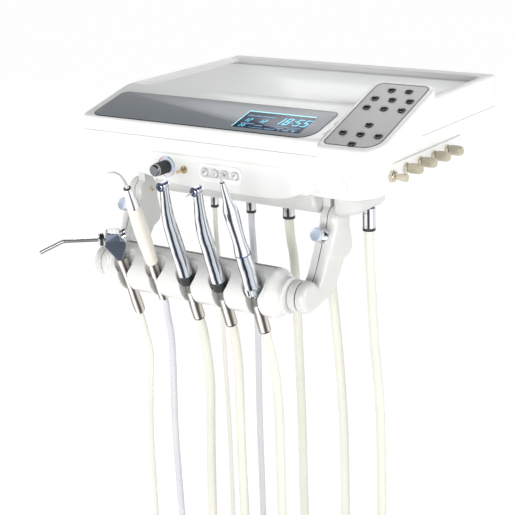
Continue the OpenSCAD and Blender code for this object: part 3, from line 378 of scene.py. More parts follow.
def soft_prism(bm, outline, lo, hi, r_lo, r_hi, place=lambda x, y, z: (x, y, z), n=4):
    low = fillet(lo, r_lo, False, n)[::-1] if r_lo else [(0, lo)]
    high = fillet(hi, r_hi, True, n) if r_hi else [(0, hi)]
    return stack(bm, outline, low + high, place)


def smooth_line(points, per=6, closed=False):
    """Catmull-Rom points through a list of points."""
    pts = [Vector(p) for p in points]
    n = len(pts)
    out = []
    for i in range(n if closed else n - 1):
        p0, p1, p2, p3 = (pts[(i + k) % n] if closed else pts[min(max(i + k, 0), n - 1)]
            for k in (-1, 0, 1, 2))
        for k in range(per):
            t = k / per
            out.append(0.5 * ((2 * p1) + (p2 - p0) * t + (2 * p0 - 5 * p1 + 4 * p2 - p3) * t * t
                + (3 * p1 - p0 - 3 * p2 + p3) * t ** 3))
    if not closed:
        out.append(pts[-1])
    return out


def lathe(bm, profile, matrix, sides=48, wave=None):
    """Turns (radius, height[, material]) points about the matrix's z. wave is (count, depth, low, high)."""
    rings, mats = [], []
    for p in profile:
        r, t = p[0], p[1]
        mats.append(p[2] if len(p) > 2 else (mats[-1] if mats else 0))
        if r < 1e-6:
            rings.append([bm.verts.new(matrix @ Vector((0, 0, t)))])
            continue
        ring = []
        for k in range(sides):
            a = 2 * math.pi * k / sides
            rr = r
            if wave and wave[2] <= t <= wave[3]:
                rr -= wave[1] * 0.5 * (1 - math.cos(wave[0] * a))
            ring.append(bm.verts.new(matrix @ Vector((rr * math.cos(a), rr * math.sin(a), t))))
        rings.append(ring)
    for i, (a, b) in enumerate(zip(rings, rings[1:])):
        if len(a) == 1 and len(b) == 1:
            continue
        if len(a) == 1 or len(b) == 1:
            tip, ring = (a[0], b) if len(a) == 1 else (b[0], a)
            for k in range(sides):
                bm.faces.new((tip, ring[k], ring[(k + 1) % sides])).material_index = mats[i]
        else:
            bridge(bm, a, b, mats[i])
    for ring, m in ((rings[0], mats[0]), (rings[-1], mats[-1])):
        if len(ring) > 1:
            bm.faces.new(ring).material_index = m
    return rings


def turned(name, profile, matrix, materials, body, sides=48, wave=None):
    return object_from(shape(lathe, profile, matrix, sides, wave), name, materials, body)


def fitted(name, profile, matrix, materials, node, body, sides=40, wave=None):
    """A turned piece that stands for a CAD node."""
    return dress(turned(name, profile, matrix, materials, body, sides, wave), node)


def cutter(profile, matrix, sides):
    """A turned form that is only used to cut with."""
    return turned("cutter", profile, matrix, WHITE, None, sides)


def tube(bm, path, radii, sides=24):
    """A round tube whose rings don't twist along the path."""
    pts = [Vector(p) for p in path]
    n = len(pts)
    tangents = [(pts[min(i + 1, n - 1)] - pts[max(i - 1, 0)]).normalized() for i in range(n)]
    side = Vector((1, 0, 0))
    rings = []
    for i, (p, t) in enumerate(zip(pts, tangents)):
        side = (side - t * side.dot(t)).normalized()
        up = t.cross(side)
        r = radii[i] if isinstance(radii, (list, tuple)) else radii
        rings.append([bm.verts.new(p + r * (math.cos(2 * math.pi * k / sides) * side
            + math.sin(2 * math.pi * k / sides) * up)) for k in range(sides)])
    for a, b in zip(rings, rings[1:]):
        bridge(bm, a, b)
    bm.faces.new(rings[0])
    bm.faces.new(rings[-1])


def axis_matrix(origin, direction, side=(1, 0, 0)):
    """A frame at origin whose z points along direction and whose x is near side."""
    z = Vector(direction).normalized()
    x = Vector(side)
    x = (x - z * x.dot(z)).normalized()
    m = Matrix((x, z.cross(x), z)).transposed().to_4x4()
    m.translation = Vector(origin)
    return m


def apply_modifiers(o):
    bpy.context.view_layer.update()
    dg = bpy.context.evaluated_depsgraph_get()
    mesh = bpy.data.meshes.new_from_object(o.evaluated_get(dg), depsgraph=dg)
    o.modifiers.clear()
    o.data = mesh


def boolean(o, cutters):
    """Cuts the cutters out of an object."""
    for c in cutters:
        mod = o.modifiers.new("cut", "BOOLEAN")
        mod.operation = "DIFFERENCE"
        mod.solver = "EXACT"
        mod.object = c
    apply_modifiers(o)
    for c in cutters:
        bpy.data.objects.remove(c)


def sculpted(o, voxel, smooth):
    """Melts an object's joined solids into one soft form."""
    mod = o.modifiers.new("remesh", "REMESH")
    mod.mode = "VOXEL"
    mod.voxel_size = voxel * MM
    mod = o.modifiers.new("smooth", "SMOOTH")
    mod.iterations = smooth
    mod.factor = 0.5
    apply_modifiers(o)
    for p in o.data.polygons:
        p.use_smooth = True


def slot_x(i):
    return (i - 2) * SLOT_PITCH


def slot_frame(i):
    """An instrument's axes: origin at its seat on the bar, z up along the instrument."""
    return Matrix.Translation((slot_x(i), SEAT[0], SEAT[1])) @ Matrix.Rotation(TOOL_TILT, 4, "X")


def slope_frame():
    return Matrix.Translation((0, FRONT_Y, LIP_Z)) @ Matrix.Rotation(SLOPE, 4, "X")


def pod_frame():
    return Matrix.Translation((0, FRONT_Y, POD_PLANE_Z)) @ Matrix.Rotation(POD_SLOPE, 4, "X")


# Camera, floor and light
def look(azimuth, elevation, roll):
    """The rotation of a camera that looks at the unit from an azimuth and elevation."""
    az, el, r = (math.radians(v) for v in (azimuth, elevation, roll))
    back = Vector((math.sin(az) * math.cos(el), -math.cos(az) * math.cos(el), math.sin(el)))
    right = Vector((math.cos(az), math.sin(az), 0))
    up = back.cross(right)
    return Matrix((math.cos(r) * right + math.sin(r) * up, -math.sin(r) * right + math.cos(r) * up,
        back)).transposed()


# In pixels of the photograph
FOCAL_LENGTH = 1350
PHOTO_WIDTH = 515
# Azimuth, height and roll in degrees
CAMERA_TURN = (35.3, 17.5, -2.1)
camera_data = bpy.data.cameras.new("camera")
camera_data.sensor_width = 36
camera_data.lens = camera_data.sensor_width * FOCAL_LENGTH / PHOTO_WIDTH
camera_data.clip_end = 60
camera = bpy.data.objects.new("camera", camera_data)
camera.matrix_world = Matrix.Translation((0.8721, -1.3121, 0.3829)) @ look(*CAMERA_TURN).to_4x4()
bpy.context.scene.collection.objects.link(camera)
bpy.context.scene.camera = camera

FLOOR_Z = -0.722
bpy.ops.mesh.primitive_plane_add(size=60, location=(0, 0, FLOOR_Z))
floor = bpy.context.object
floor.name = "floor"
floor_material, _, floor_bsdf = new_material("floor_paper")
set_inputs(floor_bsdf, Emission_Color=(1, 1, 1, 1), Base_Color=(0.1, 0.1, 0.1, 1), Specular_IOR_Level=0.0,
    Roughness=0.9, Emission_Strength=0.97)
floor.data.materials.append(floor_material)

bpy.context.scene.view_settings.view_transform = "Standard"
world = bpy.data.worlds.new("studio")
bpy.context.scene.world = world
world.use_nodes = True
sky = world.node_tree
sky_split = add_node(sky, "SeparateXYZ")
sky.links.new(add_node(sky, "TexCoord").outputs["Generated"], sky_split.inputs["Vector"])
sky_colour = gradient(sky, sky_split.outputs["Z"],
    [(0.0, (1, 1, 1)), (0.26, (1.0, 0.99, 0.97)), (0.42, (0.36, 0.37, 0.39)), (0.6, (0.10, 0.105, 0.12)),
    (1.0, (0.05, 0.06, 0.09))])
sky.links.new(sky_colour, sky.nodes["Background"].inputs["Color"])
sky.nodes["Background"].inputs["Strength"].default_value = 0.8


def area_light(name, at, size, power):
    """A soft lamp that points at the middle of the unit."""
    data = bpy.data.lights.new(name, "AREA")
    data.shape = "RECTANGLE"
    data.size, data.size_y = size
    data.energy = power
    o = bpy.data.objects.new(name, data)
    o.location = at
    o.rotation_euler = (Vector() - Vector(at)).to_track_quat("-Z", "Y").to_euler()
    bpy.context.scene.collection.objects.link(o)


area_light("front_light", (0.5, -2.4, 0.0), (1.6, 0.7), 34)
area_light("side_light", (2.2, 0.0, 0.6), (1.2, 1.0), 25)
area_light("left_light", (-2.0, -0.9, 0.5), (0.6, 1.6), 12)
area_light("top_light", (-0.6, 1.8, 1.9), (2.2, 1.1), 36)


# Hoses
ROUTES = {
    "syringe": (0, -60.05, 2.75, HOSE_WHITE, "hose_white", [
        (-88.6, -185, -165), (-88.6, -178, -195), (-88.6, -181, -228), (-88, -187, -284),
        (-87, -189, -340), (-86, -190, -400), (-85, -190, -460), (-85, -190, -520),
        (-85, -190, -580), (-85, -190, -640), (-83, -187, -665), (-77, -174, -688),
        (-67, -151, -700), (-59, -134, -700), (-50, -113, -688), (-44, -99, -665),
        (-41, -95, -640), (-41, -95, -580), (-41, -95, -520), (-41, -95, -460),
        (-41, -95, -400), (-41, -95, -309), (-43, -95, -230), (-44, -95, -157),
        (-46, -95, -100), (-48, -95, -60)]),
    "scaler": (1, -31.35, 3.75, HOSE_GREY, "hose_grey", [
        (-44.3, -198, -134), (-44.3, -193, -163), (-44.3, -193, -200), (-44, -196, -270),
        (-43, -196, -330), (-42, -195, -390), (-41, -194, -450), (-40, -193, -510),
        (-40, -193, -570), (-40, -193, -640), (-38, -190, -668), (-31, -176, -694),
        (-22, -157, -706), (-13, -136, -706), (-3, -115, -694), (3, -101, -668),
        (5, -97, -640), (5, -96, -570), (5, -95, -510), (5, -95, -450), (5, -95, -390),
        (5, -95, -298), (6, -95, -240), (7, -95, -186), (7, -95, -120), (5, -95, -70),
        (4, -95, -50)]),
    "turbine_1": (2, -49.05, 5.25, HOSE_CREAM, "hose_cream", [
        (0, -190, -150), (0, -185, -178), (0, -182, -216), (0, -185, -265), (0, -188, -320),
        (0, -190, -380), (0, -190, -440), (0, -190, -500), (0, -190, -560), (0, -190, -630),
        (2, -187, -660), (9, -176, -690), (21, -157, -707), (33, -138, -711),
        (47, -119, -701), (58, -103, -679), (64, -96, -650), (66, -95, -610),
        (66, -95, -550), (66, -95, -490), (66, -95, -430), (66, -95, -370), (66, -95, -282),
        (65, -95, -214), (62, -95, -94), (58, -95, -60)]),
    "turbine_2": (3, -49.05, 5.25, HOSE_CREAM, "hose_cream", [
        (44.3, -191, -148), (44.3, -187, -181), (44.3, -187, -215), (45, -188.5, -245),
        (46, -190, -310), (47, -190, -380), (48, -190, -450), (49, -190, -520),
        (50, -190, -580), (51, -190, -630), (53, -188, -660), (60, -178, -690),
        (73, -160, -708), (87, -140, -713), (102, -120, -704), (115, -103, -682),
        (121, -96, -650), (123, -95, -610), (124, -95, -550), (124, -95, -480),
        (124, -95, -410), (124, -95, -340), (123.5, -95, -272), (119, -95, -190),
        (112, -95, -112), (109, -95, -65)]),
    "low_speed": (4, -49.05, 5.25, HOSE_CREAM, "hose_cream", [
        (88.6, -188, -155), (88.6, -180, -185), (88.6, -176, -215), (89, -175, -248),
        (90, -177, -300), (92, -180, -360), (94, -184, -430), (96, -187, -500),
        (98, -189, -560), (99, -190, -630), (101, -188, -660), (108, -178, -690),
        (121, -160, -708), (135, -140, -713), (150, -120, -704), (163, -103, -682),
        (169, -96, -650), (172, -95, -610), (173, -95, -540), (173, -95, -470),
        (173, -95, -400), (173, -95, -330), (172, -95, -247), (168, -95, -190),
        (165, -95, -157), (161, -95, -75)]),
}
# Where the hoses leave: the first outlet, the step between two and their row
FERRULE_END_Z = BLOCK_Z - 24.7
OUTLET_X, OUTLET_STEP, OUTLET_Y = -48, 52, -95


def outlet_place(i, z):
    return Vector((OUTLET_X + OUTLET_STEP * i, OUTLET_Y, z))


def line_length(points):
    return sum((b - a).length for a, b in zip(points, points[1:]))


def make_hose(tool):
    """Two tubes that meet below the bar, so that each crosses one joint only."""
    i, start_t, r, material, slot, route = ROUTES[tool]
    at = slot_frame(i)
    outlet = outlet_place(i, FERRULE_END_Z - 0.05)
    whole = [at @ Vector((0, 0, start_t)), at @ Vector((0, 0, start_t - 8))]
    whole += [Vector(p) for p in route] + [outlet - Vector((0, 0, 8)), outlet]
    line = smooth_line(whole, 6)
    cut = next(k for k in range(len(line)) if line_length(line[:k + 1]) > max(120, 14 * r))
    for name, part in (("_hose_front", line[:cut + 1]), ("_hose_rear", line[cut:])):
        o = object_from(shape(tube, part, r, 28), tool + name, material, None, 40)
        if name == "_hose_front":
            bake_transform(o)
        else:
            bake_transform(o)
        dress(o, tool + "_hose")


for tool in ROUTES:
    make_hose(tool)


# Body
PLAN = rrect(-SIDE_X, FRONT_Y, SIDE_X, BACK_Y, (8, 45, 14, 14), arc=12, side=40)
POD_LEFT, POD_RIGHT, NOSE_Y, POD_BACK_Y = 137.0, 213.0, -167.0, -36.0
POD_PLAN = rrect(POD_LEFT, NOSE_Y, POD_RIGHT, POD_BACK_Y, (8, 22, 12, 8), arc=10, side=26)


def soft_min(a, b, k):
    h = max(k - abs(a - b), 0) / k
    return min(a, b) - h * h * k / 4


def cover_top(x, y):
    z = soft_min(LIP_Z + (y - FRONT_Y) * math.tan(SLOPE), RIM_Z, 2.2)
    if y > BACK_Y - 15:
        z -= 15 - math.sqrt(max(225 - (y - BACK_Y + 15) ** 2, 0))
    return z


def grow(bm, last, points):
    """Adds a ring to a skin and returns it."""
    ring = [bm.verts.new(p) for p in points]
    bridge(bm, last, ring)
    return ring


def make_cover():
    bm = bmesh.new()
    rings = stack(bm, PLAN, [(1.2, SEAM_Z + 0.15), (0.35, SEAM_Z + 0.15), (0, SEAM_Z + 0.5),
        (0, SEAM_Z + 2), (0, LIP_Z - 8)] + fillet(cover_top, 3.6, n=5), caps=(True, False))
    edge = inset(PLAN, 3.6)
    tray = rrect(-SIDE_X + 8, -67.5, SIDE_X - 8, 137, (6, 6, 10, 10), arc=12, side=40)
    lip = inset(tray, -1.6)
    last = rings[-1]
    steps = 14
    for k in range(1, steps + 1):
        pts = [(a[0] + (b[0] - a[0]) * k / steps, a[1] + (b[1] - a[1]) * k / steps)
            for a, b in zip(edge, lip)]
        last = grow(bm, last, [(x, y, cover_top(x, y)) for x, y in pts])
    for d, z in [(-1.6 * (1 - sind(a)), -1.6 * (1 - cosd(a))) for a in QUARTER]:
        pts = inset(tray, d)
        last = grow(bm, last, [(x, y, RIM_Z + z) for x, y in pts])
    for d, z in [(0, TRAY_Z + 2.5)] + [(2.5 * (1 - cosd(a)), TRAY_Z + 2.5 * (1 - sind(a))) for a in QUARTER]:
        pts = inset(tray, d)
        last = grow(bm, last, [(x, y, z) for x, y in pts])
    bm.faces.new(last)
    o = object_from(bm, "cover", WHITE, "root", 34)
    boolean(o, [object_from(shape(stack, inset(POD_PLAN, 0.6), [(0, SEAM_Z - 5), (0, 160)]), "cutter",
        WHITE, None)])
    dress(o, "top_cover")


def make_pan():
    dress(object_from(shape(stack, PLAN, fillet(PAN_Z, 5, False, 6)[::-1]
        + [(0, SEAM_Z - 2), (0, SEAM_Z - 0.5), (0.35, SEAM_Z - 0.15), (1.2, SEAM_Z - 0.15)]), "pan", WHITE,
        "root", 34), "base_pan")


make_cover()
make_pan()


def on_slope(bm, outline, lo, hi, r_hi):
    soft_prism(bm, outline, lo, hi, 0, r_hi, placed(slope_frame()), 2)


PANEL_OUTLINE = rrect(-175, 2.2, 127, 67.2, (12, 20, 9, 9), arc=10, side=20)
DISPLAY = (20.0, 10.2, 108.0, 50.2)


def make_panel():
    dress(object_from(shape(on_slope, inset(PANEL_OUTLINE, 1.1), -1.0, 0.55, 0.25), "panel_face", PANEL,
        "root"), "front_panel")
    dress(object_from(shape(on_slope, PANEL_OUTLINE, -1.0, 0.4, 0.2), "panel_border", BORDER, "root"),
        "front_panel")


def lifted_quads(name, quads, material, z0, z1, body="root"):
    """Thin raised marks on the slope, each a closed four-sided plate."""
    bm = bmesh.new()
    m = slope_frame()
    for q in quads:
        stack(bm, q, [(0, z0), (0, z1)], placed(m))
    return object_from(bm, name, material, body)


SEGMENTS = {"0": "abcdef", "1": "bc", "2": "abged", "3": "abgcd", "4": "fgbc", "5": "afgcd", "6": "afgedc",
    "7": "abc", "8": "abcdefg", "9": "abcdfg"}


def digit_quads(text, x, y, w, h, t, step):
    """Seven-segment digits as quads, leaning a little."""
    lean = 0.18
    parts = {"a": (0, h - t, w, h), "d": (0, 0, w, t), "g": (0, (h - t) / 2, w, (h + t) / 2),
        "f": (0, h / 2, t, h), "b": (w - t, h / 2, w, h), "e": (0, 0, t, h / 2), "c": (w - t, 0, w, h / 2)}
    out = []
    for ch in text:
        if ch == ":":
            for yy in (h * 0.28, h * 0.66):
                out.append([(x + lean * yy, y + yy), (x + t + lean * yy, y + yy),
                    (x + t + lean * (yy + t), y + yy + t), (x + lean * (yy + t), y + yy + t)])
            x += step * 0.35
            continue
        for s in SEGMENTS[ch]:
            x0, y0, x1, y1 = parts[s]
            g = 0.12
            x0, y0, x1, y1 = x0 + g, y0 + g, x1 - g, y1 - g
            out.append([(x + x0 + lean * y0, y + y0), (x + x1 + lean * y0, y + y0),
                (x + x1 + lean * y1, y + y1), (x + x0 + lean * y1, y + y1)])
        x += step
    return out


def make_display():
    x0, y0, x1, y1 = DISPLAY
    dress(object_from(shape(on_slope, rrect(x0, y0, x1, y1, (1, 1, 1, 1), arc=4, side=4), -2.0, 0.62, 0.1),
        "display_glass", GLASS, "root"), "display_window")
    z = (0.5, 0.68)
    rim = lifted_quads("display_rim", [[(x0, y0 + 1), (x0 + 1.1, y0 + 1), (x0 + 1.1, y1), (x0, y1)],
        [(x0 + 1.1, y1 - 1.8), (x1 - 1, y1 - 1.8), (x1 - 1, y1), (x0 + 1.1, y1)]], CYAN_RIM, *z)
    big = digit_quads("18:55", 66, 25.5, 6.4, 15.5, 1.35, 9.9)
    mid = digit_quads("12", 26, 25, 3.4, 8, 0.9, 5.2) + digit_quads("12", 45.5, 25, 3.4, 8, 0.9, 5.2)
    mid += digit_quads("20", 27.5, 12.8, 2.6, 5.2, 0.75, 4.2)
    small = []
    for bx, by, bw, bh, n in ((25, 38, 2.2, 2.4, 6), (44, 38, 2.2, 2.4, 6), (27, 19.5, 2.2, 2.2, 6),
            (46.5, 17.5, 2.6, 1.6, 3), (57.5, 20, 3.2, 1.1, 12), (42, 12.4, 2.4, 1.1, 6),
            (62, 12.2, 2.0, 1.8, 5), (79, 12.2, 2.4, 2.2, 1), (86, 12.0, 3.0, 2.6, 2),
            (97, 12.0, 3.2, 3.0, 1), (73, 16.2, 2.2, 1.6, 4), (89, 16.2, 2.6, 1.4, 4)):
        for k in range(n):
            x = bx + k * (bw + 0.7)
            small.append([(x, by), (x + bw, by), (x + bw + 0.3, by + bh), (x + 0.3, by + bh)])
    digits = lifted_quads("display_digits", big + mid, CYAN, *z)
    marks = lifted_quads("display_small_marks", small, CYAN_DIM, *z)


make_panel()
make_display()

# Keypad pod
PLATE_OUTLINE = rrect(143, -1.06, 207, 126.0, (8, 18, 8, 8), arc=10, side=26)


def pod_top(x, y):
    return POD_PLANE_Z + (y - FRONT_Y) * math.tan(POD_SLOPE)


def pod_bottom(x, y):
    return -soft_min(-51.5, -(51.5 + (y + 140) * math.tan(math.radians(15))), 3)


def pod_line(x, y):
    return -soft_min(-64.0, -(69.4 + (y + 130.8) * 0.318), 2)


def make_pod():
    bm = bmesh.new()
    levels = fillet(pod_bottom, 4, False, 4)[::-1]
    levels += [(0, plus(pod_line, -0.6)), (0.45, plus(pod_line, -0.05)), (0.45, plus(pod_line, 0.05)),
        (0, plus(pod_line, 0.6))]
    rings = stack(bm, POD_PLAN, levels + fillet(pod_top, 3.4, n=5), caps=(True, False))
    m = pod_frame()
    edge = inset(POD_PLAN, 3.4)
    last = rings[-1]
    plate = inset(PLATE_OUTLINE, -0.7)
    rim = [m @ Vector((x, y, 0)) for x, y in plate]
    for k in (1, 2, 3):
        last = grow(bm, last, [(a[0] + (b.x - a[0]) * k / 3, a[1] + (b.y - a[1]) * k / 3, pop)
            for a, b, pop in ((a, b, pod_top(0, a[1] + (b.y - a[1]) * k / 3)) for a, b in zip(edge, rim))])
    for d, z in ((-0.5, -0.25), (-0.45, -2.8)):
        last = grow(bm, last, [m @ Vector((x, y, z)) for x, y in inset(PLATE_OUTLINE, d)])
    bm.faces.new(last)
    dress(object_from(bm, "pod", WHITE, "root", 34), "pod_shell")
    bm = bmesh.new()
    outer = stack(bm, inset(PLATE_OUTLINE, -0.3), [(0, -2.0), (0, 0.15), (1.5, 0.15), (1.5, -2.0)],
        placed(m), caps=(False, False))
    bridge(bm, outer[-1], outer[0])
    dress(object_from(bm, "plate_border", BORDER, "root"), "keypad_plate")


def key_places():
    rows = [(0, 1), (1, 3), (2, 1), (3.75, 3), (4.75, 3), (5.75, 2)]
    for row, count in rows:
        for k in range(count):
            yield 176.5 + (k - (count - 1) / 2) * 21, 3.8 + row * 18.9


def make_plate():
    m = pod_frame()
    plate = object_from(shape(stack, inset(PLATE_OUTLINE, 1.1), [(0, -1.5), (0, 0.0)], placed(m)),
        "plate_face", PLATE, "root")
    bm = bmesh.new()
    for x, s in key_places():
        lathe(bm, [(5.0, -4), (5.0, 3)], m @ Matrix.Translation((x, s, 0)), 40)
    boolean(plate, [object_from(bm, "cutter", PLATE, None)])
    for p in plate.data.polygons:
        p.use_smooth = False
    dress(plate, "keypad_plate")
    dome = [(4.7, -1.4), (4.7, 0.15), (4.45, 0.4), (4.0, 0.45)]
    dome += [(4.0 * cosd(a), 0.45 + 2.0 * sind(a)) for a in (15, 30, 45, 60, 75)] + [(0, 2.45)]
    for k, (x, s) in enumerate(key_places()):
        name = "key_%d" % (k + 1)
        dress(turned(name + "_cap", dome, m @ Matrix.Translation((x, s, 0)), KEY_METAL, name, 36), name)


make_pod()
make_plate()

# Lower housing and hose block
def make_housing():
    bm = bmesh.new()
    plan = rrect(-140, -150, SIDE_X, 70, (25, 38, 6, 20), arc=12, side=24)
    soft_prism(bm, plan, lambda x, y: HOUSING_Z - 0.6 + 5 * max(0, (y - 46) / 24) ** 2, PAN_Z + 0.6, 4, 0)
    housing = object_from(bm, "housing", WHITE, "root", 34)
    bm = bmesh.new()
    scoop = smooth_line([(112, 8, 0), (120, 14, 0), (134, 18, 0), (146, 26.5, 0), (158, 31.5, 0),
        (163, 29, 0), (165, 20, 0), (163, 12, 0), (158, 6, 0), (140, 2, 0), (120, 2, 0)], 4, True)
    soft_prism(bm, [(p.x, p.y) for p in scoop], -144.0, -166.0, 0, 0, lambda x, y, z: (x, z, y))
    boolean(housing, [object_from(bm, "cutter", WHITE, None)])
    dress(housing, "lower_housing")
    bm = bmesh.new()
    outline = [(-137, 46, 0), (-131, 39, 0), (-120, 28, 0), (-114, 18, 0), (-104, 13.5, 0), (-90, 10.5, 0),
        (-70, 7, 0), (-45, 5.2, 0), (0, 4.6, 0), (45, 4.4, 0), (75, 5.2, 0), (94, 8.2, 0), (110, 14, 0),
        (123, 22.5, 0), (136, 31.5, 0), (146, 38.0, 0), (156, 46, 0), (60, 46.5, 0), (-60, 46.5, 0)]
    outline = [(p.x, p.y) for p in smooth_line(outline, 5, True)]
    levels = [(0, -141.0), (0, CHIN_Y + 4)] + [(4 * (1 - cosd(a)), CHIN_Y + 4 - 4 * sind(a)) for a in QUARTER]
    stack(bm, outline, levels, lambda x, y, z: (x, z, y))
    dress(object_from(bm, "chin", WHITE, "root", 34), "lower_housing")
    dress(turned("arm_boss", [(32, 14), (32, 1.2), (31, 0), (17, 0), (16.2, 0.8), (16.2, 20), (0, 20)],
        Matrix.Identity(4), WHITE, "root", 64), "lower_housing")


def make_block():
    bm = bmesh.new()
    plan = rrect(-112, -142, 168, -68, (30, 24, 8, 30), arc=12, side=24)
    levels = [(8 * (1 - cosd(a)), BLOCK_Z + 8 * (1 - sind(a)))
        for a in (90, 72, 54, 36, 18, 0)] + [(0, HOUSING_Z + 0.5)]
    stack(bm, plan, levels)
    block = object_from(bm, "block", BLOCK_SHADED_WHITE, "root", 34)
    boolean(block, [object_from(shape(stack, rrect(122.6, -190, 145.4, -101.6, (0.5, 0.5, 0.5, 0.5), 2, 2),
        [(0, -30), (0, 30)]), "cutter", WHITE, None)])
    dress(block, "hose_block")


make_housing()
make_block()

# Holder bar
SLOT_R = (6.8, 5.9, 7.5, 7.5, 7.5)


def make_bar():
    half, body_half, r, neck = 122.7, 105.7, 27.5, 20.0
    shoulder = [(neck + (r - neck) * (1 + math.cos(math.pi * k / 10)) / 2, body_half + 12 * k / 10)
        for k in range(11)]
    right = shoulder + [(neck, half)]
    profile = [(p[0], -p[1]) for p in reversed(right)] + right
    bar = object_from(shape(lathe, profile, axis_matrix((0,) + BAR_AXIS, (1, 0, 0), (0, 1, 0)), 96), "bar",
        BAR_WHITE, None)
    cutters = []
    for i in range(5):
        m = slot_frame(i)
        c = SLOT_R[i]
        for profile, back in (([(c, -70), (c, 70)], 0), ([(c + 1.8, -0.3), (17.5, 23.7), (17.5, 66)], 0),
                ([(c, 4), (17.5, 28), (17.5, 66)], -10)):
            cutters.append(cutter(profile, m @ Matrix.Translation((0, back, 0)), 48))
        cutters.append(object_from(shape(stack, [(-c, -60), (c, -60), (c, 0), (-c, 0)], [(0, -70), (0, 70)],
            placed(m)), "cutter", WHITE, None))
    for s in (-1, 1):
        cutters.append(cutter([(8.2, 108.0), (8.2, 130)], axis_matrix((0,) + PIVOT, (s, 0, 0), (0, 1, 0)),
            40))
    boolean(bar, cutters)
    sculpted(bar, 0.75, 5)
    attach(bar, "bar")
    dress(bar, "holder_bar")


def make_bar_reflection_strip():
    """A painted reflection: the dark strip along the bar's upper rear edge, where the gloss mirrors the dark
    space above.
    """
    bm = bmesh.new()
    rings = []
    for x, lift in ((-104, 27.3), (-103.5, 27.75), (103.5, 27.75), (104, 27.3)):
        arc = [(math.radians(a), lift) for a in range(2, 27, 3)] + [(math.radians(a), 26.6)
            for a in range(26, 1, -3)]
        rings.append([bm.verts.new((x, BAR_AXIS[0] + r * math.sin(a), BAR_AXIS[1] + r * math.cos(a)))
            for a, r in arc])
    for one, other in zip(rings, rings[1:]):
        bridge(bm, one, other)
    bm.faces.new(rings[0])
    bm.faces.new(rings[-1])
    dress(object_from(bm, "bar_reflection_strip", BAR_REFLECTION_GREY, "bar"), "holder_bar")


make_bar()
make_bar_reflection_strip()

# Handle arms
ARM_SEAM = 133
ARM_TOP = (-121.5, -17.5, 16.8)
ARM_UPPER = [(ARM_TOP[0] + ARM_TOP[2] * cosd(angle), ARM_TOP[1] + ARM_TOP[2] * sind(angle), 0)
    for angle in range(15, 190, 15)]
ARM_UPPER += [(-141.5, -25, 0), (-147, -35, 0), (-152, -47, 0), (-150, -56, 0), (-140, -60, 0),
    (-126, -63, 0), (-112, -61, 0), (-104, -56, 0), (-101, -47, 0), (-103, -38, 0), (-105.5, -27, 0),
    (-106, -19, 0)]
ARM_LOWER = [(-141, -24, 0), (-150, -41, 0), (-160, -61, 0), (-167, -72, 0), (-176, -80, 0), (-186, -88, 0),
    (-186, -102, 0), (-173, -102.5, 0), (-164, -100, 0), (-152, -98.5, 0), (-143, -95, 0), (-135, -88, 0),
    (-128, -79, 0), (-121, -69, 0), (-114.5, -60, 0), (-112, -48, 0), (-114, -34, 0), (-124, -24, 0)]


def limb_line(outline):
    """A counterclockwise smooth outline of a limb."""
    pts = [(p.x, p.y) for p in smooth_line(outline, 4, True)]
    area = sum(a[0] * b[1] - b[0] * a[1] for a, b in zip(pts, pts[1:] + pts[:1]))
    return pts[::-1] if area < 0 else pts


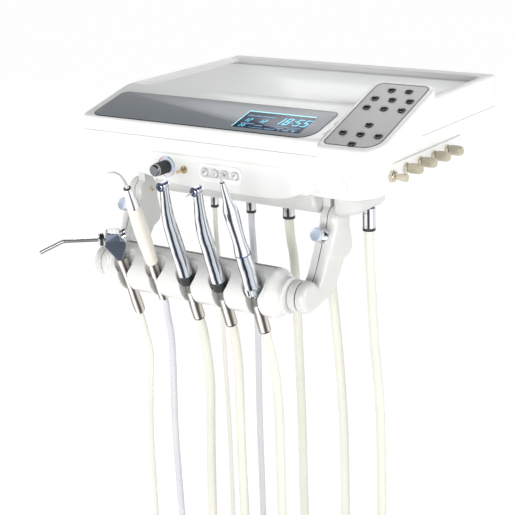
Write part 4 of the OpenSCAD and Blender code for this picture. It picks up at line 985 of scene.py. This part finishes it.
def make_arm(side, s):
    brake = axis_matrix((s * ARM_SEAM, -143.2, -31.8), (0, -cosd(22), sind(22)))
    pivot = axis_matrix((0,) + PIVOT, (s, 0, 0), (0, 1, 0))

    def across(y, z, x):
        return s * x, y, z

    for name, x0, x1 in (("inner", 123.0, 132.65), ("outer", 133.1, 145.0)):
        soft = 1.0 if name == "inner" else 5.5
        r0, r1 = (3.0, 0.5) if name == "inner" else (0.5, 6.0)
        bm = bmesh.new()
        for outline, high in ((ARM_UPPER, x1), (ARM_LOWER, x1 - (1.2 if name == "outer" else 0))):
            soft_prism(bm, limb_line(outline), x0, high, r0, r1, across, 5)
        if name == "inner":
            stack(bm, [(-129.5, -17), (-113.5, -17), (-113.5, 12.4), (-129.5, 12.4)], [(0, x0), (0, x1)],
                across)
        ring = [(17.4 - 1.2, x0), (17.4, x0 + 1.2)]
        ring += [(17.4, x1 - soft)] + [(17.4 - soft * (1 - cosd(a)), x1 - soft + soft * sind(a))
            for a in (30, 60, 90)]
        lathe(bm, ring, pivot, 64)
        shell = object_from(bm, "part", ARM_TONE_AND_SHADE_WHITE, None)
        sculpted(shell, 0.8, 7 if name == "inner" else 12)
        boolean(shell, [cutter([(5.6, -12), (5.6, 30)], brake, 32)])
        shell.name = "%s_arm_%s_shell" % (side, name)
        shell.data.name = shell.name
        for p in shell.data.polygons:
            p.use_smooth = True
        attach(shell, "root")
        dress(shell, side + "_arm_shells")
    # A thin slab of painted gap shadow in the seam between the two shells.
    bm = bmesh.new()
    for outline in (ARM_UPPER, ARM_LOWER):
        stack(bm, inset(limb_line(outline), 1.1), [(0, 132.3), (0, 133.4)], across)
    lathe(bm, [(16.2, 132.35), (16.2, 133.35)], pivot, 48)
    dress(object_from(bm, side + "_arm_part_line", PAINTED_GAP_SHADOW, "root"), side + "_arm_shells")
    dress(turned(side + "_pivot_pin", [(7.2, 109), (8, 109.8), (8, 124)], pivot, STEEL, "root", 40),
        side + "_arm_shells")
    dress(turned(side + "_brake_collar", [(5.45, 2.2), (7.6, 2.2), (8.0, 2.7), (8.0, 4.8), (7.4, 5.4),
        (5.45, 5.4), (5.45, 2.2)], brake, CHROME, "root", 40), "metal_fittings")
    button = side + "_brake_button"
    dress(turned(button + "_stem", [(5, -7), (5, 11.5), (5.6, 12.4), (6.4, 13.0), (6.4, 13.6), (0, 13.6)],
        brake, CHROME, button, 40), button)
    o = turned(button + "_cap", [(6.6, 13.1), (7.5, 13.3), (7.75, 14), (7.75, 17.2), (7.4, 18.1),
        (6.6, 18.7), (6.3, 18.55), (0, 18.9)], brake, [CHROME, BLUE_CAP], button, 48)
    for p in o.data.polygons:
        local = brake.inverted() @ (p.center / MM)
        if local.z > 18.2 or len(p.vertices) > 8 and local.z > 17:
            p.material_index = 1
    dress(o, button)
    screw_at = axis_matrix((s * 122.4, -118.4, -16.3), (-s, 0, 0), (0, 1, 0))
    o = turned(side + "_arm_screw", [(3.0, -1.2), (3.0, 0.1), (2.7, 0.4), (0, 0.45)], screw_at, BRASS,
        "root", 28)
    boolean(o, [object_from(shape(stack, [(-3, -0.45), (3, -0.45), (3, 0.45), (-3, 0.45)],
        [(0, 0.0), (0, 1.0)], lambda x, y, z: screw_at @ Matrix.Rotation(0.6, 4, "Z") @ Vector((x, y, z))),
        "cutter", WHITE, None)])
    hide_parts("metal_fittings")


make_arm("left", -1)
make_arm("right", 1)

# Instruments
def instrument(name, profile, i, materials, body, node, sides=48, wave=None):
    return fitted(name, profile, slot_frame(i), materials, node, body, sides, wave)


def threads(t0, t1, r, depth, count):
    step = (t1 - t0) / count
    out = []
    for k in range(count):
        out += [(r, t0 + step * k), (r, t0 + step * (k + 0.45)), (r - depth, t0 + step * (k + 0.6)),
            (r - depth, t0 + step * (k + 0.85))]
    return out


def tail_profile(top):
    """Sleeve, collar, ridges and end ring of a turbine or motor tail: metal 0, black 1, satin 2."""
    return [(5.3, -49, 1), (6.1, -49, 1), (6.5, -48.4, 1), (6.5, -47.4, 0), (6.75, -47.2, 0),
        (6.75, -26.4, 0), (6.3, -25.2, 0), (6.15, -24.6, 0), (6.15, -13.2, 0), (5.7, -12.6, 0),
        (5.2, -12.4, 0)] + [(r, t, 2) for r, t in threads(-12, -1.5, 5.2, 0.3, 7)] + [(4.6, -1, 0),
        (4.6, top, 0), (0, top, 0)]


def make_turbine(i, name):
    m = slot_frame(i)
    instrument(name + "_tail_sleeve", tail_profile(6), i, [TAIL_STEEL, BLACK, RIDGE_STEEL], name,
        name + "_tail")
    bend = Matrix.Rotation(math.radians(-15), 4, "X")
    elbow = Vector((0, 0, 85.7))
    neck = bend @ Vector((0, 0, 36)) + elbow
    points = [(0, 0, 11), (0, 0, 30), (0, 0, 50), (0, 0, 68), (0, 0.4, 80), (0, 2.0, 92)]
    points += [elbow + bend @ Vector((0, 0, d)) for d in (18, 28, 38)]
    line = [m @ p for p in smooth_line(points, 7)]
    radii = []
    for p in line:
        t = (m.inverted() @ p).z
        keys = [(11, 8.0), (50, 8.0), (68, 7.7), (80, 7.15), (92, 6.3), (104, 5.4), (114, 4.9), (124, 4.6)]
        for (t0, r0), (t1, r1) in zip(keys, keys[1:]):
            if t <= t1:
                u = min(max((t - t0) / (t1 - t0), 0), 1)
                radii.append(r0 + (r1 - r0) * u)
                break
        else:
            radii.append(4.6)
    dress(object_from(shape(tube, line, radii, 48), name + "_handle", HANDLE_STEEL, name, 40),
        name + "_handpiece")
    ring = [(5.4, 0), (8.1, 0), (8.5, 0.5), (8.5, 10.4), (8.2, 10.9), (7.6, 11.1), (5.4, 11.1), (5.4, 0)]
    instrument(name + "_ring", ring, i, BLACK, name, name + "_handpiece")
    head = m @ Matrix.Translation(neck) @ Matrix.Rotation(math.radians(75), 4, "X")
    h = 5.25
    profile = [(1.1, 7.0), (1.1, 8.1), (3.2, 8.25), (3.7, 8.0), (3.9, 7.4), (4.9, 7.2)] + [(h, 6.7),
        (h, 5.6), (h - 0.2, 5.45), (h - 0.2, 5.2), (h, 5.05), (h, -2.4), (h - 0.25, -2.6),
        (h - 0.25, -2.85), (h, -3.0), (h - 0.1, -3.5), (h - 0.7, -4.05), (h - 1.6, -4.25), (0, -4.3)]
    dress(turned(name + "_head", [(0, 7.0)] + profile, head, HEAD_CHROME, name, 48), name + "_handpiece")
    # A small dark dot at the elbow, in the painted gap-shadow colour.
    bm = bmesh.new()
    bmesh.ops.create_icosphere(bm, subdivisions=3, radius=0.75,
        matrix=Matrix.Translation(m @ (elbow + bend @ Vector((-2.4, -4.55, 22)))))
    dress(object_from(bm, name + "_pin", PAINTED_GAP_SHADOW, name), name + "_handpiece")
    return head


make_turbine(2, "turbine_1")
bur_axis = make_turbine(3, "turbine_2")
dress(turned("turbine_2_bur_shank", [(0.8, 4), (0.8, 15.5), (0.55, 16), (0.55, 17.2), (0.85, 18), (0.8, 20),
    (0.4, 21.2), (0, 21.3)], bur_axis, STEEL, "turbine_2_bur", 20, wave=(6, 0.12, 17.5, 20.5)),
    "turbine_2_bur")


def make_low_speed():
    instrument("low_speed_tail", tail_profile(3), 4, [TAIL_STEEL, BLACK, RIDGE_STEEL], "low_speed",
        "low_speed_motor")
    motor = [(0, 0.2), (6.2, 0.2), (7.6, 0.9), (8.5, 2.2), (8.9, 3.6), (9.0, 4.2)]
    motor += [(9.0, 4.2 + k * 0.8) for k in range(1, 10)]
    motor += [(8.8, 12.2), (8.55, 12.8), (8.6, 13.4), (8.6, 52.9), (8.45, 53.3), (8.45, 54.0), (0, 54.0)]
    instrument("low_speed_motor_body", motor, 4, HANDLE_STEEL, "low_speed", "low_speed_motor", 96,
        (18, 0.75, 4.0, 12.1))
    instrument("low_speed_blue_ring", [(7, 54.0), (8.65, 54.1), (8.65, 55.0), (7, 55.1), (7, 54.0)], 4,
        NAVY, "low_speed", "low_speed_cone")
    cone = [(0, 55.1, 0), (8.5, 55.1, 0), (8.55, 55.5), (8.4, 58.5), (7.9, 62), (7.35, 66), (7.05, 70),
        (7.0, 77), (7.2, 84), (7.6, 92), (7.9, 99), (8.0, 105), (7.7, 109), (6.9, 113), (5.6, 117.5),
        (4.7, 121), (4.1, 126), (3.6, 131), (3.1, 136), (2.75, 140.5), (2.5, 142.2), (1.5, 142.3),
        (1.4, 138), (0, 138)]
    instrument("low_speed_cone_body", cone, 4, CONE_CHROME, "low_speed", "low_speed_cone", 64)
    m = slot_frame(4)
    # Two dark ellipsoids of painted shadow stand for the slots in the cone.
    for k, turn in enumerate((-14, 10)):
        bm = bmesh.new()
        place = m @ Matrix.Rotation(math.radians(turn), 4,
            "Z") @ Matrix.Translation((0, -7.75, 104)) @ Matrix.Diagonal((0.85, 0.55, 5.2, 1))
        bmesh.ops.create_uvsphere(bm, u_segments=20, v_segments=16, radius=1.0, matrix=place)
        dress(object_from(bm, "low_speed_slot_%d" % (k + 1), PAINTED_GAP_SHADOW, "low_speed"), "low_speed_cone")
    dress(turned("low_speed_bur_shank", [(1.17, 137.5), (1.17, 148), (0.7, 149.5), (0.65, 152),
        (0.9, 152.8), (1.3, 153.9), (1.25, 155), (0.8, 155.9), (0, 156.2)], m, STEEL, "low_speed_bur", 20,
        wave=(6, 0.18, 152.9, 155.2)), "low_speed_bur")


make_low_speed()


def make_scaler():
    m = slot_frame(1)
    instrument("scaler_tail_sleeve", [(0, -31.3), (4.6, -31.3), (5.2, -30.9), (5.5, -29.8), (5.5, -0.6),
        (6.0, 0), (6.2, 0.6), (6.2, 18.1), (0, 18.1)], 1, TAIL_STEEL, "scaler", "scaler_tail")
    grip = [(0, 18.3), (6.0, 18.3), (6.4, 18.8), (6.55, 20.5), (6.9, 25), (7.3, 32), (7.75, 40), (8.1, 47),
        (8.32, 54), (8.35, 60), (8.25, 67), (8.05, 74), (7.75, 82), (7.35, 89), (7.22, 91.8), (6.4, 92),
        (0, 92)]
    instrument("scaler_grip_body", grip, 1, IVORY, "scaler", "scaler_grip", 64)
    nose = [(0, 91.9), (7.05, 91.9), (7.15, 92.3), (6.7, 98), (5.9, 104), (5.05, 110), (4.3, 114.5),
        (3.9, 116), (0, 116)]
    instrument("scaler_nose", nose, 1, NOSE_CHROME, "scaler", "scaler_grip", 64)
    instrument("scaler_o_ring", [(2.2, 115.9), (3.9, 115.9), (4.25, 116.4), (4.25, 117.4), (3.9, 117.9),
        (2.2, 117.9), (2.2, 115.9)], 1, BLACK, "scaler", "scaler_grip")
    line = [Vector((0, 0, 110)), Vector((0, 0, 118)), Vector((0, 0, 123)), Vector((0, -1.2, 129)),
        Vector((0, -3.0, 134.5)), Vector((0, -6.6, 140)), Vector((0, -12.3, 145.6)),
        Vector((0, -19, 148.8)), Vector((0, -20.4, 149.3))]
    pts = [m @ p for p in smooth_line(line, 5)]
    n = len(pts)
    radii = []
    for k in range(n):
        u = k / (n - 1)
        radii.append(2.7 if u < 0.13 else 2.1 if u < 0.2 else 1.6 if u < 0.3
            else 1.45 - 1.05 * (u - 0.3) / 0.7)
    dress(object_from(shape(tube, pts, radii, 24), "scaler_tip_body", STEEL, "scaler", 35), "scaler_tip")


make_scaler()


SYRINGE_TURN = math.radians(50)
SYRINGE_FACE = (-26.03, 39.26)


def syringe_head(up, base):
    """A shield-shaped block: flat sides with a painted dark reflection, lighter on the upward-tilted facets,
    a light domed top and a chrome rear.
    """
    rim = [(7.1 * cosd(a), 7.1 * sind(a), 19.5) for a in range(0, 360, 30)]
    body = [(-9.4, -25.9, 35.2), (9.4, -25.9, 35.2), (-9.4, -25.9, 41.5), (9.4, -25.9, 41.5),
        (-5.6, -25.9, 48.8), (5.6, -25.9, 48.8), (-4.6, -24.4, 50.4), (4.6, -24.4, 50.4),
        (-9.4, -7.5, 33.0), (9.4, -7.5, 33.0), (-9.4, -9.0, 43.4), (9.4, -9.0, 43.4), (-6.8, -17.0, 51.0),
        (6.8, -17.0, 51.0), (-7.4, -11.4, 51.2), (7.4, -11.4, 51.2), (-8.6, -3.0, 34.6), (8.6, -3.0, 34.6),
        (-8.6, -3.0, 42.0), (8.6, -3.0, 42.0)]
    bm = bmesh.new()
    verts = [bm.verts.new(p) for p in [base @ Vector(v) for v in rim] + [up @ Vector(v) for v in body]]
    hull = bmesh.ops.convex_hull(bm, input=verts)
    inner = [e for e in hull["geom_interior"] if isinstance(e, bmesh.types.BMVert)]
    bmesh.ops.delete(bm, geom=inner, context="VERTS")
    bmesh.ops.dissolve_limit(bm, angle_limit=math.radians(3), verts=bm.verts, edges=bm.edges)
    head = object_from(bm, "syringe_head", [SATIN_CHROME, SIDE_REFLECTION_DARK, SIDE_REFLECTION_LIGHT], None, 12)
    mod = head.modifiers.new("bevel", "BEVEL")
    mod.width = 0.0007
    mod.segments = 3
    mod.limit_method = "ANGLE"
    mod.angle_limit = math.radians(12)
    apply_modifiers(head)
    turn = up.to_3x3().inverted()
    for f in head.data.polygons:
        f.use_smooth = True
        out = turn @ f.normal
        spot = up.inverted() @ (f.center / MM)
        # Side faces take the painted dark reflection; those that tilt upwards take its lighter painted copy.
        if abs(out.x) > 0.6 and f.area > 2e-6 and spot.y < -5.5:
            f.material_index = 2 if out.z > 0.25 else 1
    return head


def make_syringe():
    m = slot_frame(0)
    handle = [(0, -60), (4.6, -60), (5.3, -59.2), (6.0, -57), (6.35, -53.5), (6.45, -49), (6.3, -42),
        (5.95, -34), (5.75, -26), (5.75, -8), (5.95, -3), (6.3, 4), (6.8, 12), (7.1, 18), (0, 18.5)]
    instrument("syringe_handle_body", handle, 0, TAIL_STEEL, "syringe", "syringe_handle", 64)
    turned_m = m @ Matrix.Rotation(-SYRINGE_TURN, 4, "Z")
    up = turned_m @ Matrix.Rotation(-TOOL_TILT, 4, "X")
    head = syringe_head(up, turned_m)
    cutters = []
    for s in (-1, 1):
        b = up @ Matrix.Translation((s * 4.4, -7.03, 46.16)) @ Matrix.Rotation(math.radians(-48), 4, "X")
        cutters.append(turned("cutter", [(3.5, -6), (3.5, 12)], b, CHROME, None, 32))
        name = "syringe_%s_button" % ("left" if s < 0 else "right")
        dress(turned(name + "_cap", [(0, -3.4, 0), (3.3, -3.4, 0), (3.3, 1.9, 1), (3.0, 2.1, 1),
            (3.0, 2.5, 1), (3.3, 2.7, 0), (3.3, 4.6, 0), (2.9, 5.4, 0), (2.0, 5.8, 0), (0, 5.7, 0)], b,
            [CHROME, BLACK], name, 32), name)
    boolean(head, cutters)
    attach(head, "syringe")
    dress(head, "syringe_handle")
    nozzle = up @ Matrix.Translation((0,) + SYRINGE_FACE) @ Matrix.Rotation(math.radians(95), 4, "X")
    dress(turned("syringe_nut", [(3, 0.7, 0), (6.8, 0.7, 0), (7.2, 1.0, 0), (7.2, 1.6, 1), (7.0, 1.8, 1),
        (7.0, 5.2, 1), (7.2, 5.4, 0), (7.2, 6.4, 0), (6.4, 7.4, 0), (3.0, 7.6, 0), (0, 7.6, 0)], nozzle,
        [CHROME, BLACK], "syringe_nozzle", 48), "syringe_nozzle")
    bend = Matrix.Translation((0, 0, 46)) @ Matrix.Rotation(math.radians(28), 4, "X")
    line = [Vector((0, 0, t)) for t in (0, 12, 24, 34, 42)] + [Vector((0, -0.35, 46))] + [bend
        @ Vector((0, 0, d)) for d in (4.5, 12, 20, 29)]
    dress(object_from(shape(tube, [nozzle @ p for p in smooth_line(line, 5)], 2.0, 24),
        "syringe_nozzle_tube", NOZZLE_STEEL, "syringe_nozzle", 40), "syringe_nozzle")


make_syringe()

# Controls on the chin
CONTROL_Z = 26.0
KNOB_X, TOGGLE_X, ADJUSTER_X = -67.5, -42.5, 7.2
ADJUSTER_STEP = 13.6


def chin_matrix(x, z):
    """Axes on the chin's face: z points out of it, x to the right and y up."""
    return Matrix.Translation((x, CHIN_Y, z)) @ Matrix.Rotation(math.radians(90), 4, "X")


def make_knob():
    m = chin_matrix(KNOB_X, CONTROL_Z)
    fitted("pressure_knob_body", [(0, 0.3), (6.9, 0.3), (7.5, 0.9), (7.5, 1.6)]
        + [(7.5, 2.0 + k * 0.9) for k in range(17)] + [(7.2, 17.6), (7.2, 18.6), (6.6, 19.0), (0, 19.0)], m,
        BLACK, "pressure_knob", "pressure_knob", 120, (24, 0.55, 1.9, 16.6))
    fitted("pressure_knob_cap", [(6.5, 18.7), (6.9, 18.8), (6.9, 21.6), (6.5, 22.6), (5.6, 23.6),
        (5.2, 23.9), (0, 23.6)], m, [DARK_STEEL, CHROME], "pressure_knob", "pressure_knob", 48)
    fitted("pressure_knob_line", [(6.92, 19.3), (7.0, 19.4), (7.0, 20.2), (6.92, 20.3), (6.92, 19.3)], m,
        CHROME, "pressure_knob", "pressure_knob", 48)
    disc = object_from(shape(lathe, [(12.6, -0.4), (12.6, 0.08), (0, 0.1)], m, 64), "knob_scale_disc", TINT,
        "root")
    for name, start, end, wide, material in (("orange", 105, 160, 1.5, ORANGE),
            ("orange_low", 178, 186, 1.3, ORANGE), ("green", 8, 78, 1.5, GREEN),
            ("yellow", 196, 262, 1.4, YELLOW), ("yellow_low", 284, 336, 1.4, YELLOW)):
        bm = bmesh.new()
        steps = max(3, int((end - start) / 4))
        ring = []
        for k in range(steps + 1):
            a = math.radians(start + (end - start) * k / steps)
            w = wide * (0.35 + 0.65 * k / steps)
            rows = []
            for r, h in ((11.5 - w / 2, 0.05), (11.5 - w / 2, 0.2), (11.5 + w / 2, 0.2),
                    (11.5 + w / 2, 0.05)):
                rows.append(bm.verts.new(m @ Vector((r * math.cos(a), r * math.sin(a), h))))
            ring.append(rows)
        for a, b in zip(ring, ring[1:]):
            bridge(bm, a, b)
        bm.faces.new(ring[0])
        bm.faces.new(ring[-1])
        o = object_from(bm, "knob_scale_" + name, material, "root")


def make_front_toggle():
    m = chin_matrix(TOGGLE_X, CONTROL_Z - 1)
    dress(turned("front_toggle_bezel", [(2.3, -1), (4.5, -1), (4.5, 1.4), (4.1, 1.9), (3.2, 2.0),
        (2.9, 1.6), (2.3, 1.5), (2.3, -1)], m, [BRASS], "root", 36), "metal_fittings")
    fitted("front_toggle_lever", [(0, -2), (1.5, -2), (1.5, 2.6), (1.3, 4.0), (1.35, 6), (1.7, 9),
        (2.1, 11), (2.15, 12.2), (1.7, 13.2), (0, 13.5)], m, BRASS, "front_toggle",
        "front_toggle", 28)


def make_adjusters():
    bm = bmesh.new()
    z0, z1 = CONTROL_Z - 10.5, CONTROL_Z + 9.0
    stack(bm, rrect(ADJUSTER_X - 28.5, z0, ADJUSTER_X + 28.5, z1, (6, 6, 6, 6), arc=8, side=10),
        [(0, CHIN_Y + 0.2), (0, CHIN_Y - 0.75), (0.25, CHIN_Y - 1.0)], lambda x, z, y: (x, y, z))
    plate = object_from(bm, "adjuster_plate_face", PLATE_WHITE, None)
    cutters = []
    for k in range(4):
        m = chin_matrix(ADJUSTER_X + (k - 1.5) * ADJUSTER_STEP, CONTROL_Z - 0.5)
        cutters.append(cutter([(4.9, -3), (4.9, 6)], m, 40))
        name = "adjuster_%d" % (k + 1)
        head = fitted(name + "_head", [(0, -1.0), (4.6, -1.0), (4.6, 1.5), (4.35, 1.9), (3.7, 2.0),
            (3.6, 1.8), (0, 1.75)], m, ADJUSTER_STEEL, name, name, 40)
        bm = bmesh.new()
        turn = Matrix.Rotation(math.radians((24, 70, -20, 40)[k]), 4, "Z")
        stack(bm, [(-5, -0.3), (5, -0.3), (5, 0.3), (-5, 0.3)], [(0, 1.2), (0, 3)], placed(m @ turn))
        boolean(head, [object_from(bm, "cutter", WHITE, None)])
        # A dark ring of painted shadow in the gap round each head.
        dress(turned("adjuster_ring_%d" % (k + 1),
            [(4.65, -1.5), (4.88, -1.5), (4.88, 0.9), (4.65, 0.9), (4.65, -1.5)], m, PAINTED_GAP_SHADOW, "root", 40),
            "adjuster_plate")
    boolean(plate, cutters)
    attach(plate, "root")
    dress(plate, "adjuster_plate")


make_knob()
make_front_toggle()
make_adjusters()

# Valves on the right side
VALVE_Z = HOUSING_Z + 20.4
VALVE_Y, VALVE_STEP = -63.5, 31.9


def side_matrix(y, z):
    """Axes on the right side: z points out of it."""
    return Matrix.Translation((SIDE_X, y, z)) @ Matrix.Rotation(math.radians(90), 4, "Y")


def hexagon(bm, r, z0, z1, matrix, bevel=0.5):
    """A nut's outer form with chamfered ends."""
    pts = [(r * cosd(60 * k), r * sind(60 * k)) for k in range(6)]
    stack(bm, pts, [(bevel, z0), (0, z0 + bevel), (0, z1 - bevel), (bevel, z1)], placed(matrix))


def make_valves():
    for k in range(4):
        m = side_matrix(VALVE_Y + VALVE_STEP * k, VALVE_Z)
        name = "needle_valve_%d" % (k + 1)
        bm = bmesh.new()
        hexagon(bm, 5.9, -0.5, 2.9, m)
        lathe(bm, [(4.6, 2.7), (4.6, 3.9), (4.3, 4.1), (0, 4.1)], m, 32)
        dress(object_from(bm, name + "_nut", NUT_METAL, "root", 28), "metal_fittings")
        # The neck between nut and knob is painted shadow.
        fitted(name + "_neck", [(0, 3.8), (4.4, 3.8), (4.4, 5.3), (0, 5.3)], m, PAINTED_GAP_SHADOW, name,
            name)
        profile = [(0, 4.9), (4.9, 4.9), (5.45, 5.2),
            (5.45, 6.0)] + [(5.72, 6.3 + 0.8 * j) for j in range(13)] + [(5.5, 16.8), (5.3, 17.2),
            (5.3, 18.0), (5.05, 18.4), (4.6, 18.5), (4.6, 19.2), (4.2, 19.7), (3.3, 19.8), (3.0, 19.4),
            (1.6, 19.3), (1.5, 19.6), (0, 19.6)]
        fitted(name + "_knob", profile, m, BEIGE, name, name, 96, (20, 0.4, 6.2, 16.0))


def make_side_toggle():
    m = side_matrix(-95, VALVE_Z - 2.4)
    bm = bmesh.new()
    hexagon(bm, 7.0, -0.5, 4.0, m @ Matrix.Rotation(0.3, 4, "Z"), 0.6)
    lathe(bm, [(5.0, 3.8), (5.0, 5.2), (4.4, 5.8), (3.0, 6.0), (0, 6.0)], m, 32)
    dress(object_from(bm, "side_toggle_nut", NUT_METAL, "root", 28), "metal_fittings")
    fitted("side_toggle_lever", [(0, 3), (1.6, 3), (1.6, 6.5), (1.9, 7.2), (3.0, 8.4), (3.6, 9.4),
        (3.65, 10.4), (4.5, 16.4), (4.6, 17.8), (4.1, 19.0), (0, 19.2)], m, BEIGE, "side_toggle",
        "side_toggle", 36)


make_valves()
make_side_toggle()


# Hose ferrules
def make_ferrules():
    bottom = FERRULE_END_Z
    for i in range(5):
        r = (4.6, 5.5, 6.95, 6.95, 6.95)[i]
        m = Matrix.Translation(outlet_place(i, 0))
        profile = [(r - 1.2, bottom, 1), (r + 0.05, bottom, 1), (r + 0.15, bottom + 0.5, 1),
            (r + 0.15, bottom + 3.0, 1), (r - 0.1, bottom + 3.3, 0), (r, bottom + 3.8, 0),
            (r, BLOCK_Z - 4.5, 0), (r - 0.6, BLOCK_Z - 4, 0), (r - 0.6, BLOCK_Z - 3.2, 0),
            (r, BLOCK_Z - 2.8, 0), (r, BLOCK_Z + 0.6, 0), (r - 1.2, BLOCK_Z + 0.6, 0)]
        dress(turned("ferrule_%d" % (i + 1), profile, m, [CONE_CHROME, BLACK], "root", 40),
            "metal_fittings")


make_ferrules()

# Plain looks for what is left of the frame
SLOT_MATERIALS = {"white_body": WHITE, "panel_grey": PANEL, "display": GLASS, "plate_grey": PLATE,
    "key_metal": KEY_METAL, "plate_white": PLATE_WHITE, "fitting_metal": CHROME, "block_metal": STEEL,
    "knob_black": BLACK, "toggle_brass": BRASS, "valve_beige": BEIGE, "button_blue": BLUE_CAP,
    "bar_white": BAR_WHITE, "steel": STEEL, "chrome": CHROME, "grip_ivory": IVORY, "hose_cream": HOSE_CREAM,
    "hose_grey": HOSE_GREY, "hose_white": HOSE_WHITE}
for row in frame["record"]["subparts"]:
    node = nodes[row["node"]]
    node.data.materials.clear()
    node.data.materials.append(SLOT_MATERIALS[row["material_slot"]])

bpy.context.view_layer.update()
